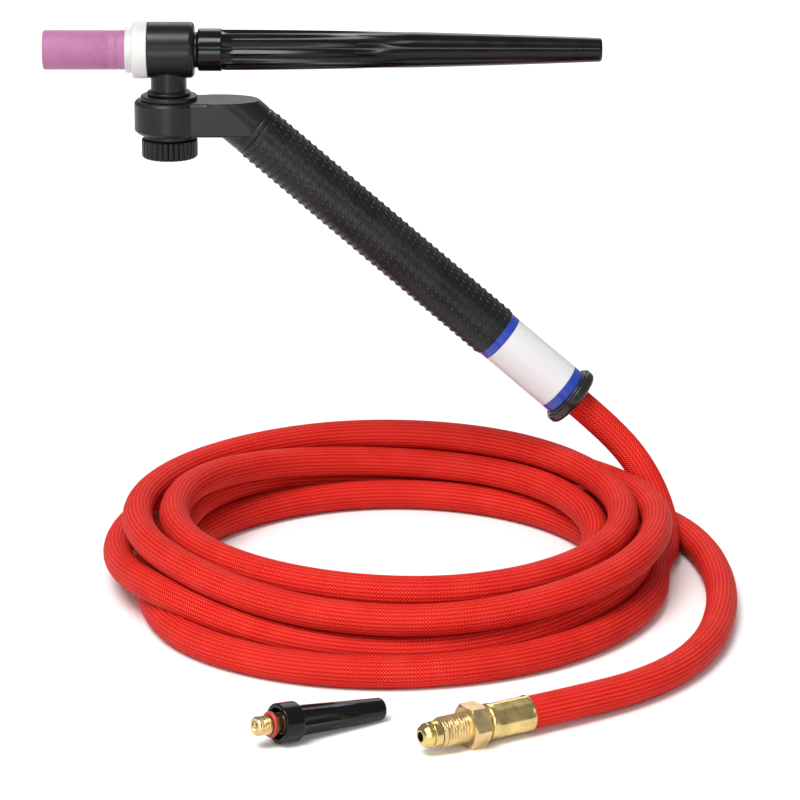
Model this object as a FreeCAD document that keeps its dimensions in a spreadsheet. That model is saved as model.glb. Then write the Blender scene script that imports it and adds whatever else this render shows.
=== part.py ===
# TIG torch with a swivelling head, its hose coiled on the floor, and a spare short cap.
# Right-handed frame in millimetres: the origin is the middle of the grip on the handle's axis,
# +X runs from the cup towards the back cap and +Z is up, square to the swivel's plane.
import FreeCAD, Part
import math
import os
import Sketcher

doc = FreeCAD.newDocument("tig_torch")
sheet = doc.addObject("Spreadsheet::Sheet", "size")
Vector = FreeCAD.Vector

SIZES = [
    # overall layout
    ("handle_tilt", 40.9, "degrees that the handle hangs below the arm"),
    ("elbow_reach", 64.0, "middle of the grip to the elbow, along the handle"),
    ("arm_reach", 23.8, "elbow to the swivel axis, along the arm"),
    ("head_rise", 23.2, "arm's middle to the head's axis"),
    ("floor_drop", 108.0, "middle of the grip down to the floor"),
    ("face_gap", 0.05, "gap between flat faces that move against each other"),
    ("turn_gap", 0.05, "radial gap of a running fit"),
    ("floor_gap", 0.02, "gap under a piece that lies on the floor"),
    # cup and gasket
    ("cup_dia", 13.6, "ceramic cup"),
    ("cup_long", 32.5, "ceramic cup"),
    ("cup_bore", 11.0, "gas passage at the mouth"),
    ("cup_thread_deep", 6.0, "threaded length inside the cup"),
    ("cup_seat_deep", 4.1, "how far the cup stands in the gasket"),
    ("cup_edge", 0.5, "rounding of the cup's ends"),
    ("lip_wall", 1.1, "gasket lip round the cup"),
    ("lip_long", 2.4, "gasket lip"),
    ("gasket_step", 1.95, "gasket ring's rise over its lip"),
    ("gasket_long", 5.3, "gasket ring"),
    ("gasket_edge", 1.2, "rounding of the gasket ring"),
    # head
    ("head_dia", 19.4, "moulded head"),
    ("head_front", 7.0, "head's front face from the swivel axis"),
    ("head_rear", 9.1, "head's rear face from the swivel axis"),
    ("neck_dia", 12.4, "neck behind the head"),
    ("neck_long", 1.1, "neck behind the head"),
    ("weld_in", 1.0, "how far a neck or spigot runs into the piece it grows from"),
    ("post_dia", 12.4, "post under the head"),
    ("core_dia", 14.4, "brass core inside the head"),
    ("core_wall_rear", 0.9, "moulding left behind the core"),
    ("socket_dia", 7.0, "core thread that takes the collet body"),
    ("socket_deep", 6.5, "core thread that takes the collet body"),
    # collet body, collet and electrode
    ("cup_thread_dia", 10.0, "thread of the collet body that the cup screws on"),
    ("cup_thread_long", 8.5, "thread of the collet body"),
    ("nozzle_dia", 7.6, "collet body in front of its thread"),
    ("nozzle_long", 13.0, "collet body in front of its thread"),
    ("nose_dia", 4.4, "collet body's tip"),
    ("nose_long", 5.0, "taper of the collet body"),
    ("gas_hole_dia", 1.4, "radial gas holes"),
    ("collet_taper", 1.0, "length of the collet's closing tip"),
    ("collet_dia", 3.9, "collet"),
    ("collet_nose_dia", 3.0, "collet's closing tip"),
    ("slit_wide", 0.5, "slits of the collet"),
    ("slit_long", 14.0, "slits of the collet"),
    ("electrode_dia", 2.4, "tungsten electrode"),
    ("electrode_cone", 3.6, "ground point of the electrode"),
    ("electrode_flat", 0.3, "flat on the electrode's point"),
    ("electrode_room", 8.35, "cap's bore left free behind the electrode, which is cut to suit"),
    ("electrode_stick", 3.0, "electrode in front of the collet body"),
    # long cap and spare cap
    ("cap_long", 139.6, "long back cap"),
    ("collar_dia", 14.8, "collar of the long cap"),
    ("collar_long", 8.2, "collar of the long cap"),
    ("cap_root_dia", 14.2, "taper behind the collar"),
    ("cap_tip_dia", 8.2, "closed end of the long cap"),
    ("cap_bore", 3.4, "room for the electrode"),
    ("cap_end_wall", 3.0, "closed end of both caps"),
    ("recess_dia", 9.8, "recess in the collar"),
    ("recess_deep", 3.0, "recess in the collar"),
    ("cap_thread_dia", 6.0, "brass insert's thread"),
    ("cap_thread_long", 6.2, "brass insert's thread"),
    ("insert_bore", 2.9, "passage through the insert"),
    ("insert_dia", 6.6, "insert behind its thread"),
    ("insert_grip", 6.0, "length of the insert moulded into a cap"),
    ("seal_core", 5.2, "insert's groove for the O-ring"),
    ("seal_thick", 1.5, "O-ring section"),
    ("spare_long", 38.6, "spare cap without its insert"),
    ("spare_collar_dia", 12.4, "collar of the spare cap"),
    ("spare_collar_long", 6.7, "collar of the spare cap"),
    ("spare_root_dia", 9.6, "taper behind the collar"),
    ("spare_tip_dia", 6.9, "closed end of the spare cap"),
    ("spare_x", -29.5, "middle of the spare cap's rim"),
    ("spare_y", -216.0, "middle of the spare cap's rim"),
    ("spare_turn", 34.6, "heading of the spare cap on the floor, in degrees"),
    # knuckle, washers and knob
    ("knuckle_dia", 24.2, "knuckle at the end of the arm"),
    ("arm_high", 11.8, "arm and knuckle"),
    ("arm_wide", 18.6, "arm"),
    ("flat_long", 15.23, "flat arm from the swivel axis to the start of the elbow"),
    ("knuckle_edge", 1.0, "chamfer of the knuckle's top"),
    ("cap_ring_dia", 19.7, "ring on top of the knuckle"),
    ("cap_ring_thick", 1.6, "ring on top of the knuckle"),
    ("wipe_gap", 0.3, "gap between the ring and the washer under the post"),
    ("post_washer_dia", 15.2, "washer under the post"),
    ("post_washer_thick", 1.3, "washer under the post"),
    ("spindle_dia", 7.8, "spindle in the knuckle"),
    ("spindle_thread", 6.0, "spindle's lower end in the knob"),
    ("spindle_clear", 0.3, "spindle's end above the knob's floor"),
    ("gas_end", 2.0, "spindle's gas passage past the middle of the arm"),
    ("bush_dia", 10.8, "brass bush in the knuckle"),
    ("ring_groove_dia", 6.0, "spindle's grooves for its O-rings"),
    ("ring_thick", 0.9, "section of the spindle's O-rings"),
    ("ring_side_play", 0.3, "spindle's groove wider than its O-ring"),
    ("ring_inset", 2.0, "spindle O-rings from the bush's ends"),
    ("thrust_dia", 18.0, "clamp washer under the knuckle"),
    ("thrust_thick", 1.6, "clamp washer under the knuckle"),
    ("knob_dia", 19.5, "lock knob"),
    ("knob_high", 6.9, "lock knob"),
    ("knob_edge", 0.7, "chamfer of the knob"),
    ("knob_floor", 1.5, "closed bottom of the knob"),
    ("flute_dia", 1.5, "finger flutes round the knob"),
    ("knob_insert_dia", 9.6, "brass insert in the knob"),
    # handle
    ("tube_dia", 6.4, "copper pipe through the arm"),
    ("tube_bore", 4.4, "copper pipe through the arm"),
    ("tube_long", 34.0, "copper pipe from the elbow into the handle"),
    ("coupling_dia", 11.0, "coupling on the pipe"),
    ("coupling_long", 18.0, "coupling on the pipe"),
    ("coupling_grip", 6.0, "pipe inside the coupling"),
    ("coupling_gap", 1.0, "coupling to the hose"),
    ("shell_dia", 15.0, "handle tube under the grip"),
    ("shell_wall", 1.0, "handle tube"),
    ("spigot_long", 12.0, "arm's spigot in the handle tube"),
    ("stub_long", 7.6, "round end of the arm in front of the grip"),
    ("grip_dia", 18.6, "rubber grip"),
    ("grip_long", 110.0, "rubber grip"),
    ("label_dia", 18.0, "banded sleeve behind the grip"),
    ("label_long", 33.0, "banded sleeve behind the grip"),
    ("end_ring_dia", 22.0, "rubber ring at the handle's end"),
    ("end_ring_long", 4.4, "rubber ring at the handle's end"),
    ("end_ring_edge", 1.9, "rounding of the rubber ring"),
    # hose and its end
    ("hose_dia", 10.4, "braided hose"),
    ("hose_bore", 6.0, "inside of the hose at its ends"),
    ("barb_bore", 3.2, "passage of the barbed nipples"),
    ("barb_long", 20.0, "barbed nipple inside the hose"),
    ("crimp_wall", 0.8, "front ferrule's wall outside the hose"),
    ("crimp_long", 18.0, "front ferrule"),
    ("coil_across", 193.0, "coil outside, left to right"),
    ("coil_deep", 220.0, "coil outside, front to back"),
    ("coil_band", 28.0, "width of the coil's bundle of turns"),
    ("coil_high", 31.0, "height of the coil"),
    ("coil_edge", 9.0, "rounding of the coil's outline"),
    ("coil_x", 4.0, "middle of the coil"),
    ("coil_y", -61.0, "middle of the coil"),
    ("fitting_x", 46.9, "back of the ferrule at the hose's end"),
    ("fitting_y", -205.8, "back of the ferrule at the hose's end"),
    ("fitting_turn", 211.8, "heading of the hose end on the floor, in degrees"),
    ("lead_straight", 13.5, "hose running straight out of the handle"),
    ("tail_straight", 20.0, "hose running straight into the ferrule"),
    ("tail_lift", 0.4, "rise of the hose towards the ferrule"),
    ("ferrule_dia", 11.4, "crimped ferrule at the hose's end"),
    ("ferrule_long", 17.0, "crimped ferrule"),
    ("ferrule_floor", 2.0, "end of the ferrule that the hose stops against"),
    ("nut_across", 12.7, "hexagon across its flats"),
    ("nut_hex_long", 6.0, "hexagon"),
    ("nut_thread", 9.525, "fine thread of the nut, over its crests"),
    ("nut_thread_long", 9.4, "threaded length"),
    ("nut_bore", 6.6, "nut's passage for the nipple"),
    ("nipple_head_dia", 7.9, "ball-nosed nipple in front of the nut"),
    ("nipple_head_long", 6.2, "ball-nosed nipple in front of the nut"),
    ("nipple_ball", 2.2, "rounding of the nipple's nose"),
    ("nipple_play", 0.1, "play between the nut and the nipple"),
]

for row, (alias, value, note) in enumerate(SIZES, start=1):
    sheet.set(f"A{row}", note)
    sheet.set(f"B{row}", str(value))
    sheet.setAlias(f"B{row}", alias)
doc.recompute()

PIECES = {}
COS_TILT = "cos(size.handle_tilt * 1 deg)"
SIN_TILT = "sin(size.handle_tilt * 1 deg)"
SWIVEL_X = f"(0 - size.elbow_reach * {COS_TILT} - size.arm_reach)"
ARM_Z = f"(size.elbow_reach * {SIN_TILT})"
HEAD_Z = f"({ARM_Z} + size.head_rise)"
FLOOR_Z = "(0 - size.floor_drop)"

FORWARD = Vector(-1, 0, 0)
BACKWARD = Vector(1, 0, 0)
DOWN = Vector(0, 0, -1)


def measure(expression):
    """Value of an expression written in the sheet's names."""
    return float(sheet.evalExpression(expression))


TILT = math.radians(measure("size.handle_tilt"))
ALONG_HANDLE = Vector(math.cos(TILT), 0, -math.sin(TILT))


def on_handle(distance):
    """Point of the handle's axis, a distance from the middle of the grip towards the hose."""
    return (f"(({distance}) * {COS_TILT})", "0", f"(0 - ({distance}) * {SIN_TILT})")


def on_head(distance):
    """Point of the head's axis, a distance behind the swivel axis."""
    return (f"({SWIVEL_X} + ({distance}))", "0", HEAD_Z)


def on_swivel(height):
    """Point of the swivel axis, a distance above the middle of the arm."""
    return (SWIVEL_X, "0", f"({ARM_Z} + ({height}))")


def place(thing, home, own_axis, heading):
    """Turns a piece's own axis to a heading and ties its place to the sheet."""
    base = Vector(*[measure(part) for part in home])
    thing.Placement = FreeCAD.Placement(base, FreeCAD.Rotation(own_axis, heading))
    for axis, expression in zip("xyz", home):
        if expression != "0":
            thing.setExpression(f"Placement.Base.{axis}", expression)
    return thing


def keep(label, thing):
    """Gives a finished piece its name."""
    thing.Label = label
    PIECES[label] = thing
    return thing


def origin_plane(body, role):
    """One of the body's own origin planes."""
    return next(item for item in body.Origin.OriginFeatures if item.Role == role)


def new_sketch(body, name, role="XY_Plane"):
    """Sketch on one of the body's own planes."""
    sketch = body.newObject("Sketcher::SketchObject", name)
    sketch.AttachmentSupport = [(origin_plane(body, role), "")]
    sketch.MapMode = "FlatFace"
    return sketch


def draw_outline(sketch, corners):
    """Closed outline whose corners are tied to the sheet."""
    points = [Vector(measure(x), measure(y), 0) for x, y in corners]
    count = len(points)
    for i in range(count):
        sketch.addGeometry(Part.LineSegment(points[i], points[(i + 1) % count]), False)
    for i in range(count):
        sketch.addConstraint(Sketcher.Constraint("Coincident", i, 2, (i + 1) % count, 1))
    for i, corner in enumerate(corners):
        for kind, expression, value, axis in (("DistanceX", corner[0], points[i].x, -2),
                                              ("DistanceY", corner[1], points[i].y, -1)):
            if expression == "0":
                sketch.addConstraint(Sketcher.Constraint("PointOnObject", i, 1, axis))
                continue
            index = sketch.addConstraint(Sketcher.Constraint(kind, -1, 1, i, 1, value))
            sketch.setExpression(f"Constraints[{index}]", expression)


def turned(label, corners, home, heading):
    """Round piece: an outline of (distance along, radius) turned about its own X axis."""
    body = doc.addObject("PartDesign::Body", label)
    sketch = new_sketch(body, label + "_outline")
    draw_outline(sketch, corners)
    turn = body.newObject("PartDesign::Revolution", label + "_turn")
    turn.Profile = sketch
    turn.ReferenceAxis = (sketch, ["H_Axis"])
    turn.Angle = 360
    place(body, home, Vector(1, 0, 0), heading)
    doc.recompute()
    return keep(label, body)


SAME_PLACE = 0.01


def ring_edges(shape, along, radius):
    """Names of the round edges of that radius at that distance along a piece's X axis."""
    names = []
    for i, edge in enumerate(shape.Edges, start=1):
        curve = edge.Curve
        if not isinstance(curve, Part.Circle):
            continue
        if max(abs(curve.Center.x - along), abs(curve.Radius - radius)) < SAME_PLACE:
            names.append(f"Edge{i}")
    return names


def soften(body, kind, rings, size_cell):
    """Fillets or chamfers the edges that lie at the given (distance, radius) pairs."""
    base = body.Tip
    names = []
    for along, radius in rings:
        found = ring_edges(base.Shape, measure(along), measure(radius))
        if not found:
            raise RuntimeError(f"{body.Label}: no edge at {along}, {radius}")
        names += found
    edge = body.newObject("PartDesign::" + kind, body.Label + "_" + kind.lower())
    edge.Base = (base, names)
    edge.setExpression("Radius" if kind == "Fillet" else "Size", size_cell)
    body.Tip = edge
    doc.recompute()


def rod(name, dia, length, home, heading):
    """Plain cylinder tied to the sheet."""
    cylinder = doc.addObject("Part::Cylinder", name)
    cylinder.setExpression("Radius", f"({dia}) / 2")
    cylinder.setExpression("Height", length)
    return place(cylinder, home, Vector(0, 0, 1), heading)


def joined(name, things):
    """Several solids made one."""
    fuse = doc.addObject("Part::MultiFuse", name)
    fuse.Shapes = things
    fuse.Refine = True
    return fuse


def cut_away(name, base, tool):
    """One solid with another taken out of it."""
    cut = doc.addObject("Part::Cut", name)
    cut.Base = base
    cut.Tool = tool
    cut.Refine = True
    return cut


# --- Cup and gasket -----------------------------------------------------------------------
GASKET_LONG = "(size.lip_long + size.gasket_long)"
GASKET_FRONT = f"(0 - size.head_front - size.face_gap - {GASKET_LONG})"
CUP_REAR = f"({GASKET_FRONT} + size.cup_seat_deep)"
CUP_FRONT = f"({CUP_REAR} - size.cup_long)"
LIP_BORE = "(size.cup_dia / 2 + size.turn_gap)"
LIP_OUTSIDE = f"({LIP_BORE} + size.lip_wall)"
GASKET_OUTSIDE = f"({LIP_OUTSIDE} + size.gasket_step)"
CUP_SEAT = "(size.cup_seat_deep + size.face_gap)"
THREAD_BORE = "(size.cup_thread_dia / 2 + size.turn_gap)"
CUP_STEP = "(size.cup_long - size.cup_thread_deep)"

gasket = turned("cup_gasket", [
    ("0", LIP_BORE),
    ("0", LIP_OUTSIDE),
    ("size.lip_long", LIP_OUTSIDE),
    ("size.lip_long", GASKET_OUTSIDE),
    (GASKET_LONG, GASKET_OUTSIDE),
    (GASKET_LONG, THREAD_BORE),
    (CUP_SEAT, THREAD_BORE),
    (CUP_SEAT, LIP_BORE)], on_head(GASKET_FRONT), BACKWARD)
soften(gasket, "Fillet", [("size.lip_long", GASKET_OUTSIDE)], "size.gasket_edge")

cup = turned("ceramic_cup", [
    ("0", "size.cup_bore / 2"),
    ("0", "size.cup_dia / 2"),
    ("size.cup_long", "size.cup_dia / 2"),
    ("size.cup_long", THREAD_BORE),
    (CUP_STEP, THREAD_BORE),
    (CUP_STEP, "size.cup_bore / 2")], on_head(CUP_FRONT), BACKWARD)
soften(cup, "Fillet", [("0", "size.cup_dia / 2"), ("size.cup_long", "size.cup_dia / 2")],
       "size.cup_edge")

# --- Head: brass core with its spindle, and the moulding round them -------------------------
CORE_REAR = "(size.head_rear - size.core_wall_rear)"
CORE_LONG = f"(size.head_front + {CORE_REAR})"
NECK_END = "(size.head_rear + size.neck_long)"
COLLET_BORE = "(size.collet_dia + 2 * size.turn_gap)"
CAP_SOCKET = "(size.cap_thread_dia + 2 * size.turn_gap)"
CAP_FRONT = f"({NECK_END} + size.face_gap)"
SEAL_SEAT = "(size.seal_core + 2 * size.seal_thick + 4 * size.turn_gap)"
INSERT_FRONT = f"({CAP_FRONT} - size.seal_thick - size.cap_thread_long - size.face_gap)"

CAP_RING_TOP = "(size.arm_high / 2 + size.cap_ring_thick)"
POST_WASHER_LOW = f"({CAP_RING_TOP} + size.wipe_gap)"
POST_LOW = f"({POST_WASHER_LOW} + size.post_washer_thick)"
THRUST_TOP = "(0 - size.arm_high / 2 - size.face_gap)"
THRUST_LOW = f"({THRUST_TOP} - size.thrust_thick)"
KNOB_TOP = f"({THRUST_LOW} - size.face_gap)"
KNOB_LOW = f"({KNOB_TOP} - size.knob_high)"
SPINDLE_LOW = f"({KNOB_LOW} + size.knob_floor + size.spindle_clear)"
RING_GROOVE_LONG = "(size.ring_thick + size.ring_side_play)"
UPPER_RING = "(size.arm_high / 2 - size.ring_inset)"
LOWER_RING = "(size.ring_inset - size.arm_high / 2)"


def spindle_outline():
    """Outline of the spindle, from the head's axis down to its threaded end."""
    corners = [("0", "size.barb_bore / 2"), ("0", "size.spindle_dia / 2")]
    for centre in (UPPER_RING, LOWER_RING):
        start = f"(size.head_rise - {centre} - {RING_GROOVE_LONG} / 2)"
        end = f"({start} + {RING_GROOVE_LONG})"
        corners += [(start, "size.spindle_dia / 2"), (start, "size.ring_groove_dia / 2"),
                    (end, "size.ring_groove_dia / 2"), (end, "size.spindle_dia / 2")]
    shoulder = f"(size.head_rise - {THRUST_LOW})"
    gas_end = "(size.head_rise + size.gas_end)"
    end = f"(size.head_rise - {SPINDLE_LOW})"
    corners += [(shoulder, "size.spindle_dia / 2"), (shoulder, "size.spindle_thread / 2"),
                (end, "size.spindle_thread / 2"), (end, "0"),
                (gas_end, "0"), (gas_end, "size.barb_bore / 2")]
    return corners


spindle = turned("spindle", spindle_outline(), on_head("0"), DOWN)
del PIECES["spindle"]
core_outer = rod("core_outer", "size.core_dia", CORE_LONG, on_head("0 - size.head_front"), BACKWARD)
core_socket = rod("core_socket", "size.socket_dia", "size.socket_deep",
                  on_head("0 - size.head_front"), BACKWARD)
core_passage = rod("core_passage", COLLET_BORE, CORE_LONG, on_head("0 - size.head_front"), BACKWARD)
core_rear = rod("core_rear", CAP_SOCKET, f"({CORE_REAR} - {INSERT_FRONT} + size.face_gap)",
                on_head(CORE_REAR), FORWARD)
gas_port = rod("gas_port", "size.barb_bore", "size.head_rise", on_head("0"), DOWN)
gas_cross = rod("gas_cross", "size.barb_bore", "size.spindle_dia",
                (f"({SWIVEL_X} - size.spindle_dia / 2)", "0", ARM_Z), BACKWARD)
core_metal = joined("core_metal", [core_outer, spindle])
core_holes = joined("core_holes", [core_socket, core_passage, core_rear, gas_port, gas_cross])
keep("head_core", cut_away("head_core", core_metal, core_holes))

shell_drum = rod("shell_drum", "size.head_dia", "(size.head_front + size.head_rear)",
                 on_head("0 - size.head_front"), BACKWARD)
shell_neck = rod("shell_neck", "size.neck_dia", "(size.neck_long + size.weld_in)",
                 on_head("size.head_rear - size.weld_in"), BACKWARD)
shell_post = rod("shell_post", "size.post_dia", f"(size.head_rise - {POST_LOW})", on_head("0"), DOWN)
shell_seal_seat = rod("shell_seal_seat", SEAL_SEAT, "(size.core_wall_rear + size.neck_long)",
                      on_head(CORE_REAR), BACKWARD)
shell_core_room = rod("shell_core_room", "size.core_dia", CORE_LONG,
                      on_head("0 - size.head_front"), BACKWARD)
shell_spindle_room = rod("shell_spindle_room", "size.spindle_dia", "size.head_rise",
                         on_head("0"), DOWN)
shell_metal = joined("shell_metal", [shell_drum, shell_neck, shell_post])
shell_holes = joined("shell_holes", [shell_core_room, shell_spindle_room, shell_seal_seat])
keep("head_shell", cut_away("head_shell", shell_metal, shell_holes))

turned("post_washer", [
    ("0", "size.spindle_dia / 2"),
    ("0", "size.post_washer_dia / 2"),
    ("size.post_washer_thick", "size.post_washer_dia / 2"),
    ("size.post_washer_thick", "size.spindle_dia / 2")], on_swivel(POST_LOW), DOWN)


def o_ring(name, core, thick, home, heading):
    """Rubber ring round a groove of the given diameter."""
    ring = doc.addObject("Part::Torus", name)
    ring.setExpression("Radius1", f"({core}) / 2 + ({thick}) / 2")
    ring.setExpression("Radius2", f"({thick}) / 2")
    return place(ring, home, Vector(0, 0, 1), heading)


spindle_rings = doc.addObject("Part::Compound", "spindle_rings")
spindle_rings.Links = [
    o_ring("upper_ring", "size.ring_groove_dia", "size.ring_thick", on_swivel(UPPER_RING), DOWN),
    o_ring("lower_ring", "size.ring_groove_dia", "size.ring_thick", on_swivel(LOWER_RING), DOWN)]
keep("spindle_o_rings", spindle_rings)

# --- Collet body, collet and electrode ------------------------------------------------------
BODY_THREAD_AT = "size.socket_deep"
BODY_NOZZLE_AT = f"({BODY_THREAD_AT} + size.cup_thread_long)"
BODY_TAPER_AT = f"({BODY_NOZZLE_AT} + size.nozzle_long)"
BODY_END = f"({BODY_TAPER_AT} + size.nose_long)"
BODY_REAR = "(size.socket_deep - size.head_front)"
COLLET_SEAT = f"({BODY_END} - size.nose_long / 2)"
NOSE_HOLE = "(size.electrode_dia / 2 + size.turn_gap)"

body_blank = turned("collet_body_blank", [
    ("0", f"{COLLET_BORE} / 2"),
    ("0", "size.socket_dia / 2"),
    (BODY_THREAD_AT, "size.socket_dia / 2"),
    (BODY_THREAD_AT, "size.cup_thread_dia / 2"),
    (BODY_NOZZLE_AT, "size.cup_thread_dia / 2"),
    (BODY_NOZZLE_AT, "size.nozzle_dia / 2"),
    (BODY_TAPER_AT, "size.nozzle_dia / 2"),
    (BODY_END, "size.nose_dia / 2"),
    (BODY_END, NOSE_HOLE),
    (COLLET_SEAT, NOSE_HOLE),
    (BODY_TAPER_AT, f"{COLLET_BORE} / 2")], on_head(BODY_REAR), FORWARD)
del PIECES["collet_body_blank"]
GAS_HOLES_AT = f"({BODY_REAR} - {BODY_NOZZLE_AT} - size.nozzle_long / 2)"
gas_holes = []
for name, heading, sideways, upward in (("holes_across", Vector(0, 1, 0), 1, 0),
                                        ("holes_upright", Vector(0, 0, 1), 0, 1)):
    half = "size.nozzle_dia / 2"
    home = on_head(GAS_HOLES_AT)
    home = (home[0], f"(0 - {sideways} * {half})", f"({home[2]} - {upward} * {half})")
    gas_holes.append(rod(name, "size.gas_hole_dia", "size.nozzle_dia", home, heading))
keep("collet_body", cut_away("collet_body", body_blank, joined("gas_holes", gas_holes)))

COLLET_REAR = f"({INSERT_FRONT} - size.face_gap)"
COLLET_LONG = f"({COLLET_REAR} - {BODY_REAR} + {BODY_TAPER_AT})"
COLLET_HOLE = "(size.electrode_dia / 2 + size.turn_gap)"
collet_blank = turned("collet_blank", [
    ("0", COLLET_HOLE),
    ("0", "size.collet_dia / 2"),
    (f"({COLLET_LONG} - size.face_gap - size.collet_taper)", "size.collet_dia / 2"),
    (f"({COLLET_LONG} - size.face_gap)", "size.collet_nose_dia / 2"),
    (f"({COLLET_LONG} - size.face_gap)", COLLET_HOLE)], on_head(COLLET_REAR), FORWARD)
del PIECES["collet_blank"]
slit = doc.addObject("Part::Box", "collet_slit")
slit.setExpression("Length", "size.slit_long")
slit.setExpression("Width", "size.slit_wide")
slit.setExpression("Height", "size.collet_dia")
place(slit, (f"({SWIVEL_X} + {COLLET_REAR} - {COLLET_LONG})", "(0 - size.slit_wide / 2)",
             f"({HEAD_Z} - size.collet_dia / 2)"), Vector(1, 0, 0), BACKWARD)
keep("collet", cut_away("collet", collet_blank, slit))

ELECTRODE_TIP = f"({BODY_REAR} - {BODY_END} - size.electrode_stick)"
ELECTRODE_LONG = (f"({CAP_FRONT} + size.cap_long - size.cap_end_wall - size.electrode_room"
                  f" - {ELECTRODE_TIP})")
turned("electrode", [
    ("0", "0"),
    ("0", "size.electrode_flat / 2"),
    ("size.electrode_cone", "size.electrode_dia / 2"),
    (ELECTRODE_LONG, "size.electrode_dia / 2"),
    (ELECTRODE_LONG, "0")], on_head(ELECTRODE_TIP), BACKWARD)


# --- Back caps: the long one in place and the short spare -------------------------------------
LONG_CAP_CURVE = 1.7     # more than 1 tapers quickly behind the collar and less towards the tip
SPARE_CAP_CURVE = 1.0    # an even taper
TAPER_SPANS = 6


def cap_outline(length, collar_dia, collar_long, root_dia, tip_dia, taper_power):
    """Collar, then a taper that flattens towards the closed end."""
    corners = [("0", "size.recess_dia / 2"), ("0", f"{collar_dia} / 2"),
               (collar_long, f"{collar_dia} / 2")]
    for step in range(TAPER_SPANS + 1):
        share = step / TAPER_SPANS
        left = (1 - share) ** taper_power
        corners.append((f"({collar_long} + ({length} - {collar_long}) * {share:.4f})",
                        f"({tip_dia} / 2 + ({root_dia} - {tip_dia}) / 2 * {left:.4f})"))
    bore_end = f"({length} - size.cap_end_wall)"
    insert_end = "(size.recess_deep + size.insert_grip)"
    corners += [(length, "0"), (bore_end, "0"), (bore_end, "size.cap_bore / 2"),
                (insert_end, "size.cap_bore / 2"), (insert_end, "size.insert_dia / 2"),
                ("size.recess_deep", "size.insert_dia / 2"), ("size.recess_deep", "size.recess_dia / 2")]
    return corners


INSERT_BACK = ("(size.cap_thread_long + size.seal_thick + size.face_gap + size.recess_deep"
               " + size.insert_grip)")
SEAL_END = "(size.cap_thread_long + size.seal_thick)"


def insert_outline():
    """Brass insert: thread, groove for the O-ring, and the shank that the cap is moulded on."""
    return [("0", "size.insert_bore / 2"), ("0", "size.cap_thread_dia / 2"),
            ("size.cap_thread_long", "size.cap_thread_dia / 2"),
            ("size.cap_thread_long", "size.seal_core / 2"), (SEAL_END, "size.seal_core / 2"),
            (SEAL_END, "size.insert_dia / 2"), (INSERT_BACK, "size.insert_dia / 2"),
            (INSERT_BACK, "size.insert_bore / 2")]


turned("long_cap_body", cap_outline("size.cap_long", "size.collar_dia", "size.collar_long",
                                    "size.cap_root_dia", "size.cap_tip_dia", LONG_CAP_CURVE),
       on_head(CAP_FRONT), BACKWARD)
turned("long_cap_insert", insert_outline(), on_head(INSERT_FRONT), BACKWARD)
keep("long_cap_o_ring", o_ring("long_cap_o_ring", "size.seal_core", "size.seal_thick",
                               on_head(f"{INSERT_FRONT} + size.cap_thread_long + size.seal_thick / 2"),
                               BACKWARD))

# The spare lies on its collar's rear edge and its tip, with its thread clear of the floor.
SPARE_TURN = math.radians(measure("size.spare_turn"))
spare_dip = math.atan2(measure("(size.spare_collar_dia - size.spare_tip_dia) / 2"),
                       measure("size.spare_long - size.spare_collar_long"))
SPARE_HEADING = Vector(math.cos(SPARE_TURN) * math.cos(spare_dip),
                       math.sin(SPARE_TURN) * math.cos(spare_dip), -math.sin(spare_dip))
SPARE_RIM = Vector(measure("size.spare_x"), measure("size.spare_y"), measure(FLOOR_Z)
                   + math.cos(spare_dip) * measure("size.spare_collar_dia / 2 + size.floor_gap")
                   + math.sin(spare_dip) * measure("size.spare_collar_long"))


def on_spare(distance):
    """Point of the spare cap's axis, a distance behind its rim."""
    spot = SPARE_RIM + SPARE_HEADING * measure(distance)
    return (str(spot.x), str(spot.y), str(spot.z))


turned("spare_cap_body", cap_outline("size.spare_long", "size.spare_collar_dia",
                                     "size.spare_collar_long", "size.spare_root_dia",
                                     "size.spare_tip_dia", SPARE_CAP_CURVE), on_spare("0"),
       SPARE_HEADING)
SPARE_THREAD = "(0 - size.cap_thread_long - size.seal_thick - size.face_gap)"
turned("spare_cap_insert", insert_outline(), on_spare(SPARE_THREAD), SPARE_HEADING)
keep("spare_cap_o_ring", o_ring("spare_cap_o_ring", "size.seal_core", "size.seal_thick",
                                on_spare("0 - size.face_gap - size.seal_thick / 2"), SPARE_HEADING))

# --- Clamp washer and lock knob under the knuckle ---------------------------------------------
SPINDLE_HOLE = "(size.spindle_dia / 2 + size.turn_gap)"
turned("clamp_washer", [
    ("0", SPINDLE_HOLE),
    ("0", "size.thrust_dia / 2"),
    ("size.thrust_thick", "size.thrust_dia / 2"),
    ("size.thrust_thick", SPINDLE_HOLE)], on_swivel(THRUST_TOP), DOWN)

KNOB_CAVITY = "(size.knob_high - size.knob_floor)"
KNOB_FLUTES = 30
knob = turned("lock_knob", [
    ("0", "size.knob_insert_dia / 2"),
    ("0", "size.knob_dia / 2"),
    ("size.knob_high", "size.knob_dia / 2"),
    ("size.knob_high", "0"),
    (KNOB_CAVITY, "0"),
    (KNOB_CAVITY, "size.knob_insert_dia / 2")], on_swivel(KNOB_TOP), DOWN)
soften(knob, "Chamfer", [("0", "size.knob_dia / 2"), ("size.knob_high", "size.knob_dia / 2")],
       "size.knob_edge")
flute_sketch = new_sketch(knob, "knob_flute_outline", "YZ_Plane")
flute_sketch.addGeometry(Part.Circle(Vector(0, measure("size.knob_dia / 2"), 0), Vector(0, 0, 1),
                                     measure("size.flute_dia / 2")), False)
flute_sketch.addConstraint(Sketcher.Constraint("PointOnObject", 0, 3, -2))
flute_reach = flute_sketch.addConstraint(
    Sketcher.Constraint("DistanceY", -1, 1, 0, 3, measure("size.knob_dia / 2")))
flute_sketch.setExpression(f"Constraints[{flute_reach}]", "size.knob_dia / 2")
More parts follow.
